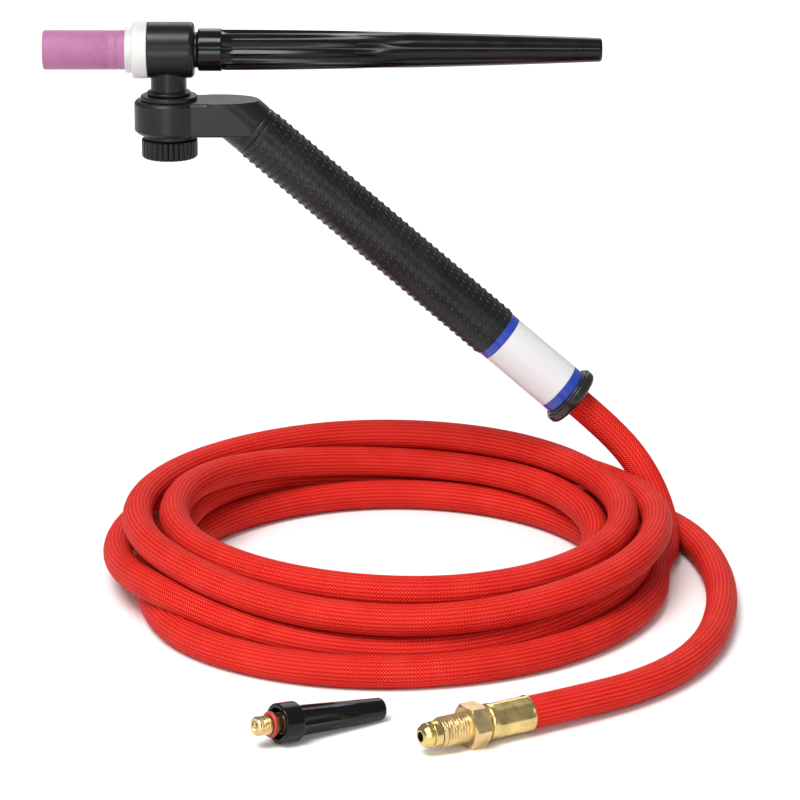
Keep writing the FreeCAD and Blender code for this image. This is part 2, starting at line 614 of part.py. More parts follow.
flute_round = flute_sketch.addConstraint(
    Sketcher.Constraint("Diameter", 0, measure("size.flute_dia")))
flute_sketch.setExpression(f"Constraints[{flute_round}]", "size.flute_dia")
doc.recompute()
plain_volume = knob.Shape.Volume
flute = knob.newObject("PartDesign::Pocket", "knob_flute")
flute.Profile = flute_sketch
flute.Type = "Length"
flute.setExpression("Length", "size.knob_high * 2")
flute.Midplane = True
flutes = knob.newObject("PartDesign::PolarPattern", "knob_flutes")
flutes.Originals = [flute]
flutes.Axis = (flute_sketch, ["N_Axis"])
flutes.Angle = 360
flutes.Occurrences = KNOB_FLUTES
knob.Tip = flutes
doc.recompute()
if knob.Shape.Volume > plain_volume - 1:
    raise RuntimeError("the knob's flutes cut nothing")

turned("knob_insert", [
    ("0", "size.spindle_thread / 2 + size.turn_gap"),
    ("0", "size.knob_insert_dia / 2"),
    (KNOB_CAVITY, "size.knob_insert_dia / 2"),
    (KNOB_CAVITY, "size.spindle_thread / 2 + size.turn_gap")], on_swivel(KNOB_TOP), DOWN)

# --- Arm: knuckle, flat arm and elbow in one moulding -----------------------------------------
GRIP_FRONT = "(0 - size.grip_long / 2)"
ARM_END = "(0 - size.grip_long / 2 - size.stub_long)"
ELBOW_START = f"({SWIVEL_X} + size.flat_long)"
knuckle_drum = turned("knuckle_drum", [
    ("0", "0"),
    ("0", "size.knuckle_dia / 2"),
    ("size.arm_high", "size.knuckle_dia / 2"),
    ("size.arm_high", "0")], on_swivel("size.arm_high / 2"), DOWN)
soften(knuckle_drum, "Chamfer", [("0", "size.knuckle_dia / 2")], "size.knuckle_edge")
del PIECES["knuckle_drum"]
bar = doc.addObject("Part::Box", "arm_bar")
bar.setExpression("Length", f"{ELBOW_START} - {SWIVEL_X}")
bar.setExpression("Width", "size.arm_wide")
bar.setExpression("Height", "size.arm_high")
place(bar, (SWIVEL_X, "(0 - size.arm_wide / 2)", f"({ARM_Z} - size.arm_high / 2)"),
      Vector(1, 0, 0), BACKWARD)

elbow = doc.addObject("Part::Feature", "elbow_blend")
half_wide = measure("size.arm_wide / 2")
half_high = measure("size.arm_high / 2")
start_x = measure(ELBOW_START)
arm_z = measure(ARM_Z)
corner_spots = [Vector(start_x, side * half_wide, arm_z + rise * half_high)
                for side, rise in ((-1, -1), (1, -1), (1, 1), (-1, 1))]
square_end = Part.makePolygon(corner_spots + corner_spots[:1])
stub_centre = ALONG_HANDLE * measure(ARM_END)
stub_radius = measure("size.grip_dia / 2")
UPRIGHT = Vector(math.sin(TILT), 0, math.cos(TILT))
SIDEWAYS = Vector(0, 1, 0)
round_spots = [stub_centre + SIDEWAYS * (stub_radius * math.cos(turn))
               + UPRIGHT * (stub_radius * math.sin(turn))
               for turn in [math.radians(45 * k) for k in range(-3, 5)]]
round_end = Part.Wire([Part.Arc(round_spots[2 * k], round_spots[2 * k + 1],
                                round_spots[(2 * k + 2) % 8]).toShape() for k in range(4)])
elbow.Shape = Part.makeLoft([square_end, round_end], True, True)

stub = rod("arm_stub", "size.grip_dia", "size.stub_long", on_handle(ARM_END), ALONG_HANDLE)
SPIGOT_DIA = "(size.shell_dia - 2 * size.shell_wall)"
spigot = rod("arm_spigot", SPIGOT_DIA, "(size.spigot_long + size.weld_in)",
             on_handle(f"{GRIP_FRONT} - size.weld_in"), ALONG_HANDLE)
arm_metal = joined("arm_blank", [knuckle_drum, bar, elbow, stub, spigot])

BUSH_BORE = "(size.spindle_dia + 2 * size.turn_gap)"
ELBOW = "(0 - size.elbow_reach)"


def pipe_run(name, dia):
    """Pipe from the bush along the arm, round the elbow and into the handle."""
    arm_leg = rod(name + "_arm_leg", dia, "size.arm_reach - size.bush_dia / 2",
                  (f"({SWIVEL_X} + size.bush_dia / 2)", "0", ARM_Z), BACKWARD)
    bend = doc.addObject("Part::Sphere", name + "_bend")
    bend.setExpression("Radius", f"{dia} / 2")
    place(bend, on_handle(ELBOW), Vector(1, 0, 0), ALONG_HANDLE)
    handle_leg = rod(name + "_handle_leg", dia, "size.tube_long", on_handle(ELBOW), ALONG_HANDLE)
    return joined(name, [arm_leg, bend, handle_leg])


bush_room = rod("bush_room", "size.bush_dia", "size.arm_high", on_swivel("size.arm_high / 2"), DOWN)
arm_holes = joined("arm_holes", [bush_room, pipe_run("pipe_room", "size.tube_dia")])
keep("arm_body", cut_away("arm_body", arm_metal, arm_holes))
keep("conductor_tube", cut_away("conductor_tube", pipe_run("pipe_outside", "size.tube_dia"),
                                pipe_run("pipe_inside", "size.tube_bore")))

bush_outer = rod("bush_outer", "size.bush_dia", "size.arm_high", on_swivel("size.arm_high / 2"), DOWN)
bush_bore = rod("bush_bore", BUSH_BORE, "size.arm_high", on_swivel("size.arm_high / 2"), DOWN)
bush_port = rod("bush_port", "size.tube_bore", "size.bush_dia", on_swivel("0"), BACKWARD)
keep("knuckle_bush", cut_away("knuckle_bush", bush_outer, joined("bush_holes",
                                                                  [bush_bore, bush_port])))
turned("knuckle_cap_ring", [
    ("0", SPINDLE_HOLE),
    ("0", "size.cap_ring_dia / 2"),
    ("size.cap_ring_thick", "size.cap_ring_dia / 2"),
    ("size.cap_ring_thick", SPINDLE_HOLE)], on_swivel(CAP_RING_TOP), DOWN)

# --- Handle: tube, grip, banded sleeve, end ring, and the hose joint inside --------------------
LABEL_START = "(size.grip_long / 2)"
LABEL_END = f"({LABEL_START} + size.label_long)"
HANDLE_END = f"({LABEL_END} + size.end_ring_long)"


def sleeve(label, outer, inner, start, length):
    """Plain tube on the handle's axis."""
    return turned(label, [("0", f"({inner}) / 2"), ("0", f"({outer}) / 2"),
                          (length, f"({outer}) / 2"), (length, f"({inner}) / 2")],
                  on_handle(start), ALONG_HANDLE)


sleeve("handle_tube", "size.shell_dia", SPIGOT_DIA, GRIP_FRONT, "(size.grip_long + size.label_long)")
grip = sleeve("grip_sleeve", "size.grip_dia", "size.shell_dia", GRIP_FRONT, "size.grip_long")
sleeve("label_sleeve", "size.label_dia", "size.shell_dia", LABEL_START, "size.label_long")
end_ring = sleeve("end_ring", "size.end_ring_dia", "size.hose_dia", LABEL_END, "size.end_ring_long")
soften(end_ring, "Fillet", [("0", "size.end_ring_dia / 2"),
                            ("size.end_ring_long", "size.end_ring_dia / 2")], "size.end_ring_edge")

TUBE_END = "(size.tube_long - size.elbow_reach)"
COUPLING_START = f"({TUBE_END} - size.coupling_grip)"
COUPLING_END = f"({COUPLING_START} + size.coupling_long)"
turned("tube_coupling", [
    ("0", "size.tube_dia / 2"),
    ("0", "size.coupling_dia / 2"),
    ("size.coupling_long", "size.coupling_dia / 2"),
    ("size.coupling_long", "size.hose_bore / 2"),
    ("(size.coupling_grip * 2)", "size.hose_bore / 2"),
    ("(size.coupling_grip * 2)", "size.barb_bore / 2"),
    ("size.coupling_grip", "size.barb_bore / 2"),
    ("size.coupling_grip", "size.tube_dia / 2")], on_handle(COUPLING_START), ALONG_HANDLE)
BARB_START = f"({COUPLING_START} + size.coupling_grip * 2)"
HOSE_START = f"({COUPLING_END} + size.coupling_gap)"
sleeve("front_nipple", "size.hose_bore", "size.barb_bore", BARB_START,
       f"({HOSE_START} - {BARB_START} + size.barb_long)")
sleeve("hose_root", "size.hose_dia", "size.hose_bore", HOSE_START, f"({HANDLE_END} - {HOSE_START})")
sleeve("front_ferrule", "size.hose_dia + 2 * size.crimp_wall", "size.hose_dia", HOSE_START,
       "size.crimp_long")

# --- Hose: its lead, its coil, its tail and the fitting on its end ------------------------------
HOSE_Z = f"({FLOOR_Z} + size.hose_dia / 2)"
FITTING_Z = f"({FLOOR_Z} + size.nut_across / 2 + size.floor_gap)"
FITTING_HEADING = Vector(math.cos(math.radians(measure("size.fitting_turn"))),
                         math.sin(math.radians(measure("size.fitting_turn"))), 0)
FERRULE_BACK = Vector(measure("size.fitting_x"), measure("size.fitting_y"), measure(FITTING_Z))
hose_floor = measure(HOSE_Z)
LEAD_ROUTE = [
    ALONG_HANDLE * measure(HANDLE_END),
    ALONG_HANDLE * measure(f"{HANDLE_END} + size.lead_straight"),
    Vector(90.3, -4.7, -79.2),
    Vector(97.1, -13.6, -89.3),
    Vector(100.4, -26.7, -97.8),
    Vector(99.8, -42.6, hose_floor),
    Vector(95.0, -59.0, hose_floor),
]
TAIL_ROUTE = [
    Vector(76.0, 15.0, hose_floor),
    Vector(92.8, 2.6, hose_floor),
    Vector(105.6, -15.6, hose_floor),
    Vector(112.8, -38.6, hose_floor),
    Vector(115.8, -63.0, hose_floor),
    Vector(116.0, -88.0, hose_floor),
    Vector(113.2, -113.0, hose_floor),
    Vector(107.5, -138.0, hose_floor),
    Vector(97.2, -161.0, hose_floor),
    Vector(82.6, -180.0, hose_floor + measure("size.tail_lift")),
    FERRULE_BACK - FITTING_HEADING * measure("size.tail_straight"),
    FERRULE_BACK,
]
BEND_SHARE = 0.45
VOLUME_SLACK = 0.01


def cord_path(name, route):
    """Straight runs joined by tangent arcs, each as large as its two runs allow."""
    edges = []
    last = route[0]
    for before, corner, after in zip(route, route[1:], route[2:]):
        arrive = (corner - before).normalize()
        leave = (after - corner).normalize()
        turn = arrive.getAngle(leave)
        setback = BEND_SHARE * min((corner - before).Length, (after - corner).Length)
        radius = setback / math.tan(turn / 2)
        print(f"{name}: turn {math.degrees(turn):.1f} degrees, radius {radius:.1f} mm")
        start = corner - arrive * setback
        end = corner + leave * setback
        inward = (leave - arrive).normalize()
        middle = corner + inward * (radius / math.cos(turn / 2) - radius)
        edges.append(Part.LineSegment(last, start).toShape())
        edges.append(Part.Arc(start, middle, end).toShape())
        last = end
    edges.append(Part.LineSegment(last, route[-1]).toShape())
    return Part.Wire(edges)


def cord_tube(label, route):
    """Solid tube of the hose's diameter along a route."""
    path = cord_path(label, route)
    radius = measure("size.hose_dia / 2")
    start = (route[1] - route[0]).normalize()
    section = Part.Wire([Part.Circle(route[0], start, radius).toShape()])
    tube = path.makePipeShell([section], True, False)
    expected = math.pi * radius ** 2 * path.Length
    print(f"{label}: length {path.Length:.1f} mm, volume {tube.Volume:.0f} of {expected:.0f} mm3")
    if abs(tube.Volume - expected) > VOLUME_SLACK * expected:
        raise RuntimeError(label + ": the tube's volume is wrong")
    thing = doc.addObject("Part::Feature", label)
    thing.Shape = tube
    return keep(label, thing)


cord_tube("hose_lead", LEAD_ROUTE)
cord_tube("hose_tail", TAIL_ROUTE)

# The coil's outside: a round-edged ring, drawn out from front to back into an oval.
coil_outer = measure("size.coil_across / 2")
coil_inner = coil_outer - measure("size.coil_band")
coil_ring = Part.makeCylinder(coil_outer, measure("size.coil_high")).cut(
    Part.makeCylinder(coil_inner, measure("size.coil_high")))
coil_rims = [edge for edge in coil_ring.Edges if isinstance(edge.Curve, Part.Circle)]
coil_ring = coil_ring.makeFillet(measure("size.coil_edge"), coil_rims)
stretch = FreeCAD.Matrix()
stretch.scale(1, measure("size.coil_deep / size.coil_across"), 1)
coil = doc.addObject("Part::Feature", "hose_coil")
coil.Shape = coil_ring.transformGeometry(stretch)
place(coil, ("size.coil_x", "size.coil_y", FLOOR_Z), BACKWARD, BACKWARD)
keep("hose_coil", coil)


def on_fitting(distance):
    """Point of the hose end's axis, a distance from the back of its ferrule."""
    spot = FERRULE_BACK + FITTING_HEADING * measure(distance)
    return (str(spot.x), str(spot.y), str(spot.z))


NUT_START = "(size.ferrule_long + size.face_gap)"
NUT_LONG = "(size.nut_hex_long + size.nut_thread_long)"
turned("hose_ferrule", [
    ("0", "size.barb_bore / 2"),
    ("0", "size.ferrule_dia / 2"),
    ("size.ferrule_long", "size.ferrule_dia / 2"),
    ("size.ferrule_long", "size.hose_bore / 2"),
    ("size.ferrule_floor", "size.hose_bore / 2"),
    ("size.ferrule_floor", "size.barb_bore / 2")], on_fitting("0"), FITTING_HEADING)

hexagon = doc.addObject("Part::Prism", "nut_hexagon")
hexagon.Polygon = 6
hexagon.setExpression("Circumradius", "size.nut_across / sqrt(3)")
hexagon.setExpression("Height", "size.nut_hex_long")
place(hexagon, on_fitting(NUT_START), Vector(0, 0, 1), FITTING_HEADING)
FLAT_TO_CORNER = 30
flat_down = FreeCAD.Rotation(Vector(0, 0, 1), measure("size.fitting_turn") - FLAT_TO_CORNER)
hexagon.Placement.Rotation = hexagon.Placement.Rotation * flat_down
thread = rod("nut_thread", "size.nut_thread", "size.nut_thread_long",
             on_fitting(f"{NUT_START} + size.nut_hex_long"), FITTING_HEADING)
nut_passage = rod("nut_passage", "size.nut_bore", NUT_LONG, on_fitting(NUT_START), FITTING_HEADING)
keep("hose_nut", cut_away("hose_nut", joined("nut_blank", [hexagon, thread]), nut_passage))

NIPPLE_SHANK = "(size.nut_bore / 2 - size.nipple_play)"
SHOULDER_AT = f"({NUT_START} - size.ferrule_floor)"
HEAD_AT = f"({NUT_START} + {NUT_LONG} + size.face_gap - size.ferrule_floor)"
NIPPLE_END = f"({HEAD_AT} + size.nipple_head_long)"
nipple = turned("hose_nipple", [
    ("0", "size.barb_bore / 2"),
    ("0", "size.hose_bore / 2"),
    (SHOULDER_AT, "size.hose_bore / 2"),
    (SHOULDER_AT, NIPPLE_SHANK),
    (HEAD_AT, NIPPLE_SHANK),
    (HEAD_AT, "size.nipple_head_dia / 2"),
    (NIPPLE_END, "size.nipple_head_dia / 2"),
    (NIPPLE_END, "size.barb_bore / 2")], on_fitting("size.ferrule_floor"), FITTING_HEADING)
soften(nipple, "Fillet", [(NIPPLE_END, "size.nipple_head_dia / 2")], "size.nipple_ball")

# --- Check every object and write each piece ------------------------------------------------
doc.recompute()
for thing in doc.Objects:
    if "Invalid" in thing.State or "Error" in thing.State:
        raise RuntimeError(f"{thing.Label} failed: {thing.State}")
for label, thing in PIECES.items():
    shape = thing.Shape
    if shape.isNull() or not shape.isValid() or shape.Volume <= 0 or not shape.Solids:
        raise RuntimeError(label + " has no sound shape")
os.makedirs("parts", exist_ok=True)
for label, thing in PIECES.items():
    thing.Shape.exportStep(f"parts/{label}.step")
print(len(PIECES), "pieces written")
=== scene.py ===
import math
import bmesh
import bpy
import numpy as np
from mathutils import Matrix, Vector


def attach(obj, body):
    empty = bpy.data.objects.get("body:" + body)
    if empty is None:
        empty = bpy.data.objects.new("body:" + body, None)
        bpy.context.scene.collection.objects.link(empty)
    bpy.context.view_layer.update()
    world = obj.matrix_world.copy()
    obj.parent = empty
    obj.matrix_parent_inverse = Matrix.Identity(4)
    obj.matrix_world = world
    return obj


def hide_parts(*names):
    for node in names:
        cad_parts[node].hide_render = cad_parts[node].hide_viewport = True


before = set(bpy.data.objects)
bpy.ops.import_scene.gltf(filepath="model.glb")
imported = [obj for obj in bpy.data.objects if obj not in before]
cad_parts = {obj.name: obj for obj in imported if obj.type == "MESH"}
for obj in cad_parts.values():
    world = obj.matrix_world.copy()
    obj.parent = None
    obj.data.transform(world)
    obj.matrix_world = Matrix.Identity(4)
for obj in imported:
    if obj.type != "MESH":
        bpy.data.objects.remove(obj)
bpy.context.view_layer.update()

# --- Camera: a long lens in front of the torch and a little above it --------------------------
# It looks down a little, so the coil shows as a flat oval with the torch head above its left side.
# Sizes in this file are in millimetres, which MM turns to metres.
MM = 0.001
LENS_ANGLE = 12.0
LOOK_DOWN = 15.8
CAMERA_PLACE = (7.875, -1297.55, 306.61)
SEEN_TO = 20000
scene = bpy.context.scene
camera_data = bpy.data.cameras.new("camera")
camera_data.angle = math.radians(LENS_ANGLE)
camera_data.clip_end = SEEN_TO * MM
camera = bpy.data.objects.new("camera", camera_data)
camera.location = Vector(CAMERA_PLACE) * MM
camera.rotation_euler = (math.radians(90 - LOOK_DOWN), 0, 0)
scene.collection.objects.link(camera)
scene.camera = camera

# --- Floor and soft studio light: pale paper under broad lamps --------------------------------
# A wide overhead light gives the soft shadows. The lamps before and behind the torch draw the long
# highlights on the black mouldings and the brass.
FLOOR = -108.0
FLOOR_HALF = 3000
PAPER_WHITE = (0.93, 0.93, 0.93, 1)
PAPER_ROUGHNESS = 0.9
SKY_STRENGTH = 0.30
OVERHEAD_STRENGTH = 2.5
OVERHEAD_SPREAD = math.radians(28)
OVERHEAD_TURN = (math.radians(24), math.radians(-14), 0)
floor_mesh = bpy.data.meshes.new("studio_floor")
floor_mesh.from_pydata([Vector((x * FLOOR_HALF, y * FLOOR_HALF, FLOOR)) * MM
                        for x, y in ((-1, -1), (1, -1), (1, 1), (-1, 1))], [], [(0, 1, 2, 3)])
floor = bpy.data.objects.new("studio_floor", floor_mesh)
scene.collection.objects.link(floor)
paper = bpy.data.materials.new("floor_paper")
paper.use_nodes = True
paper_shader = paper.node_tree.nodes["Principled BSDF"]
paper_shader.inputs["Base Color"].default_value = PAPER_WHITE
paper_shader.inputs["Roughness"].default_value = PAPER_ROUGHNESS
floor_mesh.materials.append(paper)

world = bpy.data.worlds.new("studio")
world.use_nodes = True
sky = world.node_tree.nodes["Background"]
sky.inputs["Color"].default_value = (1, 1, 1, 1)
sky.inputs["Strength"].default_value = SKY_STRENGTH
scene.world = world
scene.view_settings.view_transform = "Standard"

overhead_light = bpy.data.lights.new("overhead_light", "SUN")
overhead_light.energy = OVERHEAD_STRENGTH
overhead_light.angle = OVERHEAD_SPREAD
overhead = bpy.data.objects.new("overhead_light", overhead_light)
overhead.rotation_euler = OVERHEAD_TURN
scene.collection.objects.link(overhead)

SOFTBOXES = [
    # name, place, width, height (all in metres), watts: each one looks at the middle of the torch
    ("key_light", (-0.9, -1.0, 1.5), 0.6, 0.6, 7),
    ("strip_light", (0.1, -1.4, 0.62), 1.7, 0.07, 5),
    ("fill_light", (-0.2, -1.1, -0.02), 0.35, 0.35, 2.5),
    ("rim_light", (0.2, 1.4, 1.0), 1.0, 1.0, 7),
]
for light_name, place, width, height, watts in SOFTBOXES:
    softbox = bpy.data.lights.new(light_name, "AREA")
    softbox.shape = "RECTANGLE"
    softbox.size = width
    softbox.size_y = height
    softbox.energy = watts
    lamp = bpy.data.objects.new(light_name, softbox)
    lamp.location = place
    lamp.rotation_euler = Vector(place).to_track_quat("Z", "Y").to_euler()
    scene.collection.objects.link(lamp)

# --- Hose: 3.6 m of rubber hose in a red braided cover ----------------------------------------
# It drops from the handle to the floor, lies in six loose turns, and leaves them at the back to run
# round the right side to its brass fitting. The cover is woven over raised lengthwise ribs.
HOSE_DIA = 10.4
ON_FLOOR = FLOOR + HOSE_DIA / 2
HANDLE_TILT = math.radians(40.9)
HANDLE_MIDDLE = (0, 0, 0)
ALONG_HANDLE = Vector((math.cos(HANDLE_TILT), 0, -math.sin(HANDLE_TILT)))
HANDLE_END = 92.4
LEAD_STRAIGHT = 13.5
HOSE_LEAD = [
    ALONG_HANDLE * HANDLE_END,
    ALONG_HANDLE * (HANDLE_END + LEAD_STRAIGHT),
    (90.3, -4.7, -79.2),
    (97.1, -13.6, -89.3),
    (100.4, -26.7, -97.8),
    (99.8, -42.6, ON_FLOOR),
    (95.0, -59.0, ON_FLOOR),
]
FITTING_TURN = math.radians(211.8)
FITTING_WAY = Vector((math.cos(FITTING_TURN), math.sin(FITTING_TURN), 0))
FERRULE_BACK = Vector((46.9, -205.8, -101.63))
TAIL_STRAIGHT = 20.0
TAIL_LIFT = 0.4
HOSE_TAIL = [
    (76.0, 15.0, ON_FLOOR),
    (92.8, 2.6, ON_FLOOR),
    (105.6, -15.6, ON_FLOOR),
    (112.8, -38.6, ON_FLOOR),
    (115.8, -63.0, ON_FLOOR),
    (116.0, -88.0, ON_FLOOR),
    (113.2, -113.0, ON_FLOOR),
    (107.5, -138.0, ON_FLOOR),
    (97.2, -161.0, ON_FLOOR),
    (82.6, -180.0, ON_FLOOR + TAIL_LIFT),
    FERRULE_BACK - FITTING_WAY * TAIL_STRAIGHT,
    FERRULE_BACK,
]
# Each turn at eight places, clockwise from the right: mm outside the middle oval, and height.
TURNS = [
    [(8, 5.2), (2, 5.2), (11.5, 5.2), (10.5, 5.2), (-9, 5.2), (-8, 5.2), (-10.5, 5.2), (-4, 5.2)],
    [(-5, 5.2), (-9, 7), (-16, 15), (-15, 15), (-12, 15.5), (-4, 14), (0, 5.2), (2, 5.2)],
    [(8, 14.6), (4.5, 9.5), (-5, 5.2), (0, 14), (9.5, 7), (9, 9), (6.5, 14.6), (8.5, 18)],
    [(8.5, 23.5), (5, 18), (-5, 14.5), (-4, 20), (4.5, 24), (3, 24), (-4, 23.5), (-2, 25)],
    [(-2.5, 24), (-6, 24), (-11, 24), (-11, 25), (-10, 24), (-8, 20), (-3, 15), (-5, 15)],
    [(-11, 14.6), (-17, 9), (-16.5, 5.2), (-11, 7), (0, 14), (6, 5.2), (11, 5.2), (9.5, 5.2)],
]
OVAL_MIDDLE = (4.0, -61.0)
OVAL_HALF = (83.8, 95.8)
PLACES_A_TURN = 8
STEPS_A_TURN = 24
STEPS_A_PLACE = STEPS_A_TURN // PLACES_A_TURN
WHOLE_TURNS = 5
STEPS_OVER = 20
LAST_STEP = WHOLE_TURNS * STEPS_A_TURN + STEPS_OVER
LYING_APART = 10.8
SETTLING_ROUNDS = 400
PUSH_APART = 0.6
STRAIGHTEN = 0.12
DRAW_BACK = 0.02


def between_places(places, step):
    """Offset and height at one step, on a smooth line through the places of the turns."""
    spot = step / STEPS_A_PLACE
    first = int(spot)
    share = spot - first
    p0, p1, p2, p3 = (places[min(max(first + k, 0), len(places) - 1)] for k in (-1, 0, 1, 2))
    return (p1 + 0.5 * share * (p2 - p0 + share * (2 * p0 - 5 * p1 + 4 * p2 - p3
                                                   + share * (3 * p1 - p0 - 3 * p2 + p3))))


def settled(wanted):
    """The turns eased apart where they lie too close, and kept from sinking into the floor."""
    turns = wanted.copy()
    for _ in range(SETTLING_ROUNDS):
        push = np.zeros_like(turns)
        for apart in range(STEPS_A_TURN, len(turns), STEPS_A_TURN):
            gap = turns[apart:] - turns[:-apart]
            distance = np.hypot(gap[:, 0], gap[:, 1]) + 1e-9
            overlap = np.maximum(LYING_APART - distance, 0)
            shove = gap * (0.5 * overlap / distance)[:, None]
            push[apart:] += shove
            push[:-apart] -= shove
        turns += PUSH_APART * push
        turns[1:-1] += STRAIGHTEN * ((turns[:-2] + turns[2:]) / 2 - turns[1:-1])
        turns += DRAW_BACK * (wanted - turns)
        turns[:, 1] = np.maximum(turns[:, 1], HOSE_DIA / 2)
        turns[0] = wanted[0]
    return turns


def coil_points():
    """Control points of the coil's turns, clockwise from the end of the lead."""
    places = np.array([place for turn in TURNS for place in turn])
    wanted = np.array([between_places(places, step) for step in range(LAST_STEP + 1)])
    wanted[:, 1] = np.maximum(wanted[:, 1], HOSE_DIA / 2)
    points = []
    for step, (outside, height) in enumerate(settled(wanted)):
        angle = -2 * math.pi * step / STEPS_A_TURN
        on_oval = Vector((OVAL_HALF[0] * math.cos(angle), OVAL_HALF[1] * math.sin(angle)))
        outward = Vector((on_oval.x / OVAL_HALF[0] ** 2, on_oval.y / OVAL_HALF[1] ** 2))
        outward.normalize()
        flat = Vector(OVAL_MIDDLE) + on_oval + outward * outside
        points.append((flat.x, flat.y, FLOOR + height))
    return points[1:]


hose_route = [Vector(point) * MM for point in [*HOSE_LEAD, *coil_points(), *HOSE_TAIL]]
route_curve = bpy.data.curves.new("hose_route", "CURVE")
route_curve.dimensions = "3D"
route_spline = route_curve.splines.new("NURBS")
route_spline.points.add(len(hose_route) - 1)
for spline_point, place in zip(route_spline.points, hose_route):
    spline_point.co = (*place, 1)
route_spline.order_u = 3
route_spline.use_endpoint_u = True
route_spline.resolution_u = 8
hose_line = bpy.data.objects.new("hose_route", route_curve)
scene.collection.objects.link(hose_line)

HOSE_RIBS = 24
RIB_HIGH = 0.34
SECTIONS_APART = 4


def new_node_group(name, sizes, counts):
    """Geometry Nodes tree with named inputs for sizes, counts and the material."""
    tree = bpy.data.node_groups.new(name, "GeometryNodeTree")
    face = tree.interface
    face.new_socket("Geometry", in_out="INPUT", socket_type="NodeSocketGeometry")
    for label in sizes:
        face.new_socket(label, in_out="INPUT", socket_type="NodeSocketFloat")
    for label in counts:
        face.new_socket(label, in_out="INPUT", socket_type="NodeSocketInt")
    face.new_socket("Material", in_out="INPUT", socket_type="NodeSocketMaterial")
    face.new_socket("Geometry", in_out="OUTPUT", socket_type="NodeSocketGeometry")
    return tree, tree.nodes.new("NodeGroupInput")


def end_group(tree, given, geometry):
    """Ends a tree: its instances made real, and the given material on all of it."""
    whole = tree.nodes.new("GeometryNodeRealizeInstances")
    painted = tree.nodes.new("GeometryNodeSetMaterial")
    result = tree.nodes.new("NodeGroupOutput")
    tree.links.new(geometry, whole.inputs["Geometry"])
    tree.links.new(whole.outputs["Geometry"], painted.inputs["Geometry"])
    tree.links.new(given.outputs["Material"], painted.inputs["Material"])
    tree.links.new(painted.outputs["Geometry"], result.inputs["Geometry"])


def braided_tube_nodes():
    """Sweeps a ribbed section along a line; marks the distance along it and the ribs' crests."""
    tree, given = new_node_group("braided_tube", ("Radius", "Rib Height", "Step"), ("Ribs",))
    add = tree.nodes.new
    link = tree.links.new

    evenly = add("GeometryNodeResampleCurve")
    evenly.mode = "LENGTH"
    link(given.outputs["Geometry"], evenly.inputs["Curve"])
    link(given.outputs["Step"], evenly.inputs["Length"])
    along = add("GeometryNodeSplineParameter")
    mark_along = add("GeometryNodeStoreNamedAttribute")
    mark_along.data_type = "FLOAT"
    mark_along.inputs["Name"].default_value = "along"
    link(evenly.outputs["Curve"], mark_along.inputs["Geometry"])
    link(along.outputs["Length"], mark_along.inputs["Value"])

    star = add("GeometryNodeCurveStar")
    inner = add("ShaderNodeMath")
    inner.operation = "SUBTRACT"
    link(given.outputs["Ribs"], star.inputs["Points"])
    link(given.outputs["Radius"], star.inputs["Outer Radius"])
    link(given.outputs["Radius"], inner.inputs[0])
    link(given.outputs["Rib Height"], inner.inputs[1])
    link(inner.outputs["Value"], star.inputs["Inner Radius"])
    mark_crest = add("GeometryNodeStoreNamedAttribute")
    mark_crest.data_type = "FLOAT"
    mark_crest.inputs["Name"].default_value = "crest"
    number = add("GeometryNodeInputIndex")
    next_number = add("ShaderNodeMath")
    next_number.inputs[1].default_value = 1
    link(number.outputs["Index"], next_number.inputs[0])
    outer = add("ShaderNodeMath")
    outer.operation = "MODULO"
    outer.inputs[1].default_value = 2
    link(next_number.outputs["Value"], outer.inputs[0])
    link(star.outputs["Curve"], mark_crest.inputs["Geometry"])
    link(outer.outputs["Value"], mark_crest.inputs["Value"])

    sweep = add("GeometryNodeCurveToMesh")
    sweep.inputs["Fill Caps"].default_value = True
    link(mark_along.outputs["Geometry"], sweep.inputs["Curve"])
    link(mark_crest.outputs["Geometry"], sweep.inputs["Profile Curve"])
    end_group(tree, given, sweep.outputs["Mesh"])
    return tree


def new_material(name, color, roughness, metallic=0.0):
    """Material whose plain values sit on its shader; returns it with its tree and shader."""
    material = bpy.data.materials.new(name)
    material.use_nodes = True
    shader = material.node_tree.nodes["Principled BSDF"]
    shader.inputs["Base Color"].default_value = (*color, 1)
    shader.inputs["Roughness"].default_value = roughness
    shader.inputs["Metallic"].default_value = metallic
    return material, material.node_tree, shader


def math_node(tree, operation, first, second=0.0, third=0.0):
    """Output of a math node whose inputs are sockets or numbers."""
    node = tree.nodes.new("ShaderNodeMath")
    node.operation = operation
    for index, value in enumerate((first, second, third)):
        if isinstance(value, (int, float)):
            node.inputs[index].default_value = value
        else:
            tree.links.new(value, node.inputs[index])
    return node.outputs[0]


def tinted(tree, shader, factor, stops):
    """Gives a shader a colour that follows a factor through (position, colour) stops."""
    ramp = tree.nodes.new("ShaderNodeValToRGB")
    while len(ramp.color_ramp.elements) < len(stops):
        ramp.color_ramp.elements.new(0.5)
    for element, (position, color) in zip(ramp.color_ramp.elements, stops):
        element.position = position
        element.color = (*color, 1)
    tree.links.new(factor, ramp.inputs["Fac"])
    tree.links.new(ramp.outputs["Color"], shader.inputs["Base Color"])


def bump(tree, shader, height, depth, strength=1.0):
    """Gives a shader relief of a given depth in millimetres."""
    node = tree.nodes.new("ShaderNodeBump")
    node.inputs["Distance"].default_value = depth * MM
    node.inputs["Strength"].default_value = strength
    tree.links.new(height, node.inputs["Height"])
    tree.links.new(node.outputs["Normal"], shader.inputs["Normal"])


def noise(tree, scale, detail=3.0, roughness=0.5):
    """Noise on the piece's own coordinates, with scale in features a metre."""
    coordinates = tree.nodes.new("ShaderNodeTexCoord")
    node = tree.nodes.new("ShaderNodeTexNoise")
    node.inputs["Scale"].default_value = scale
    node.inputs["Detail"].default_value = detail
    node.inputs["Roughness"].default_value = roughness
    tree.links.new(coordinates.outputs["Object"], node.inputs["Vector"])
    return node.outputs["Fac"]


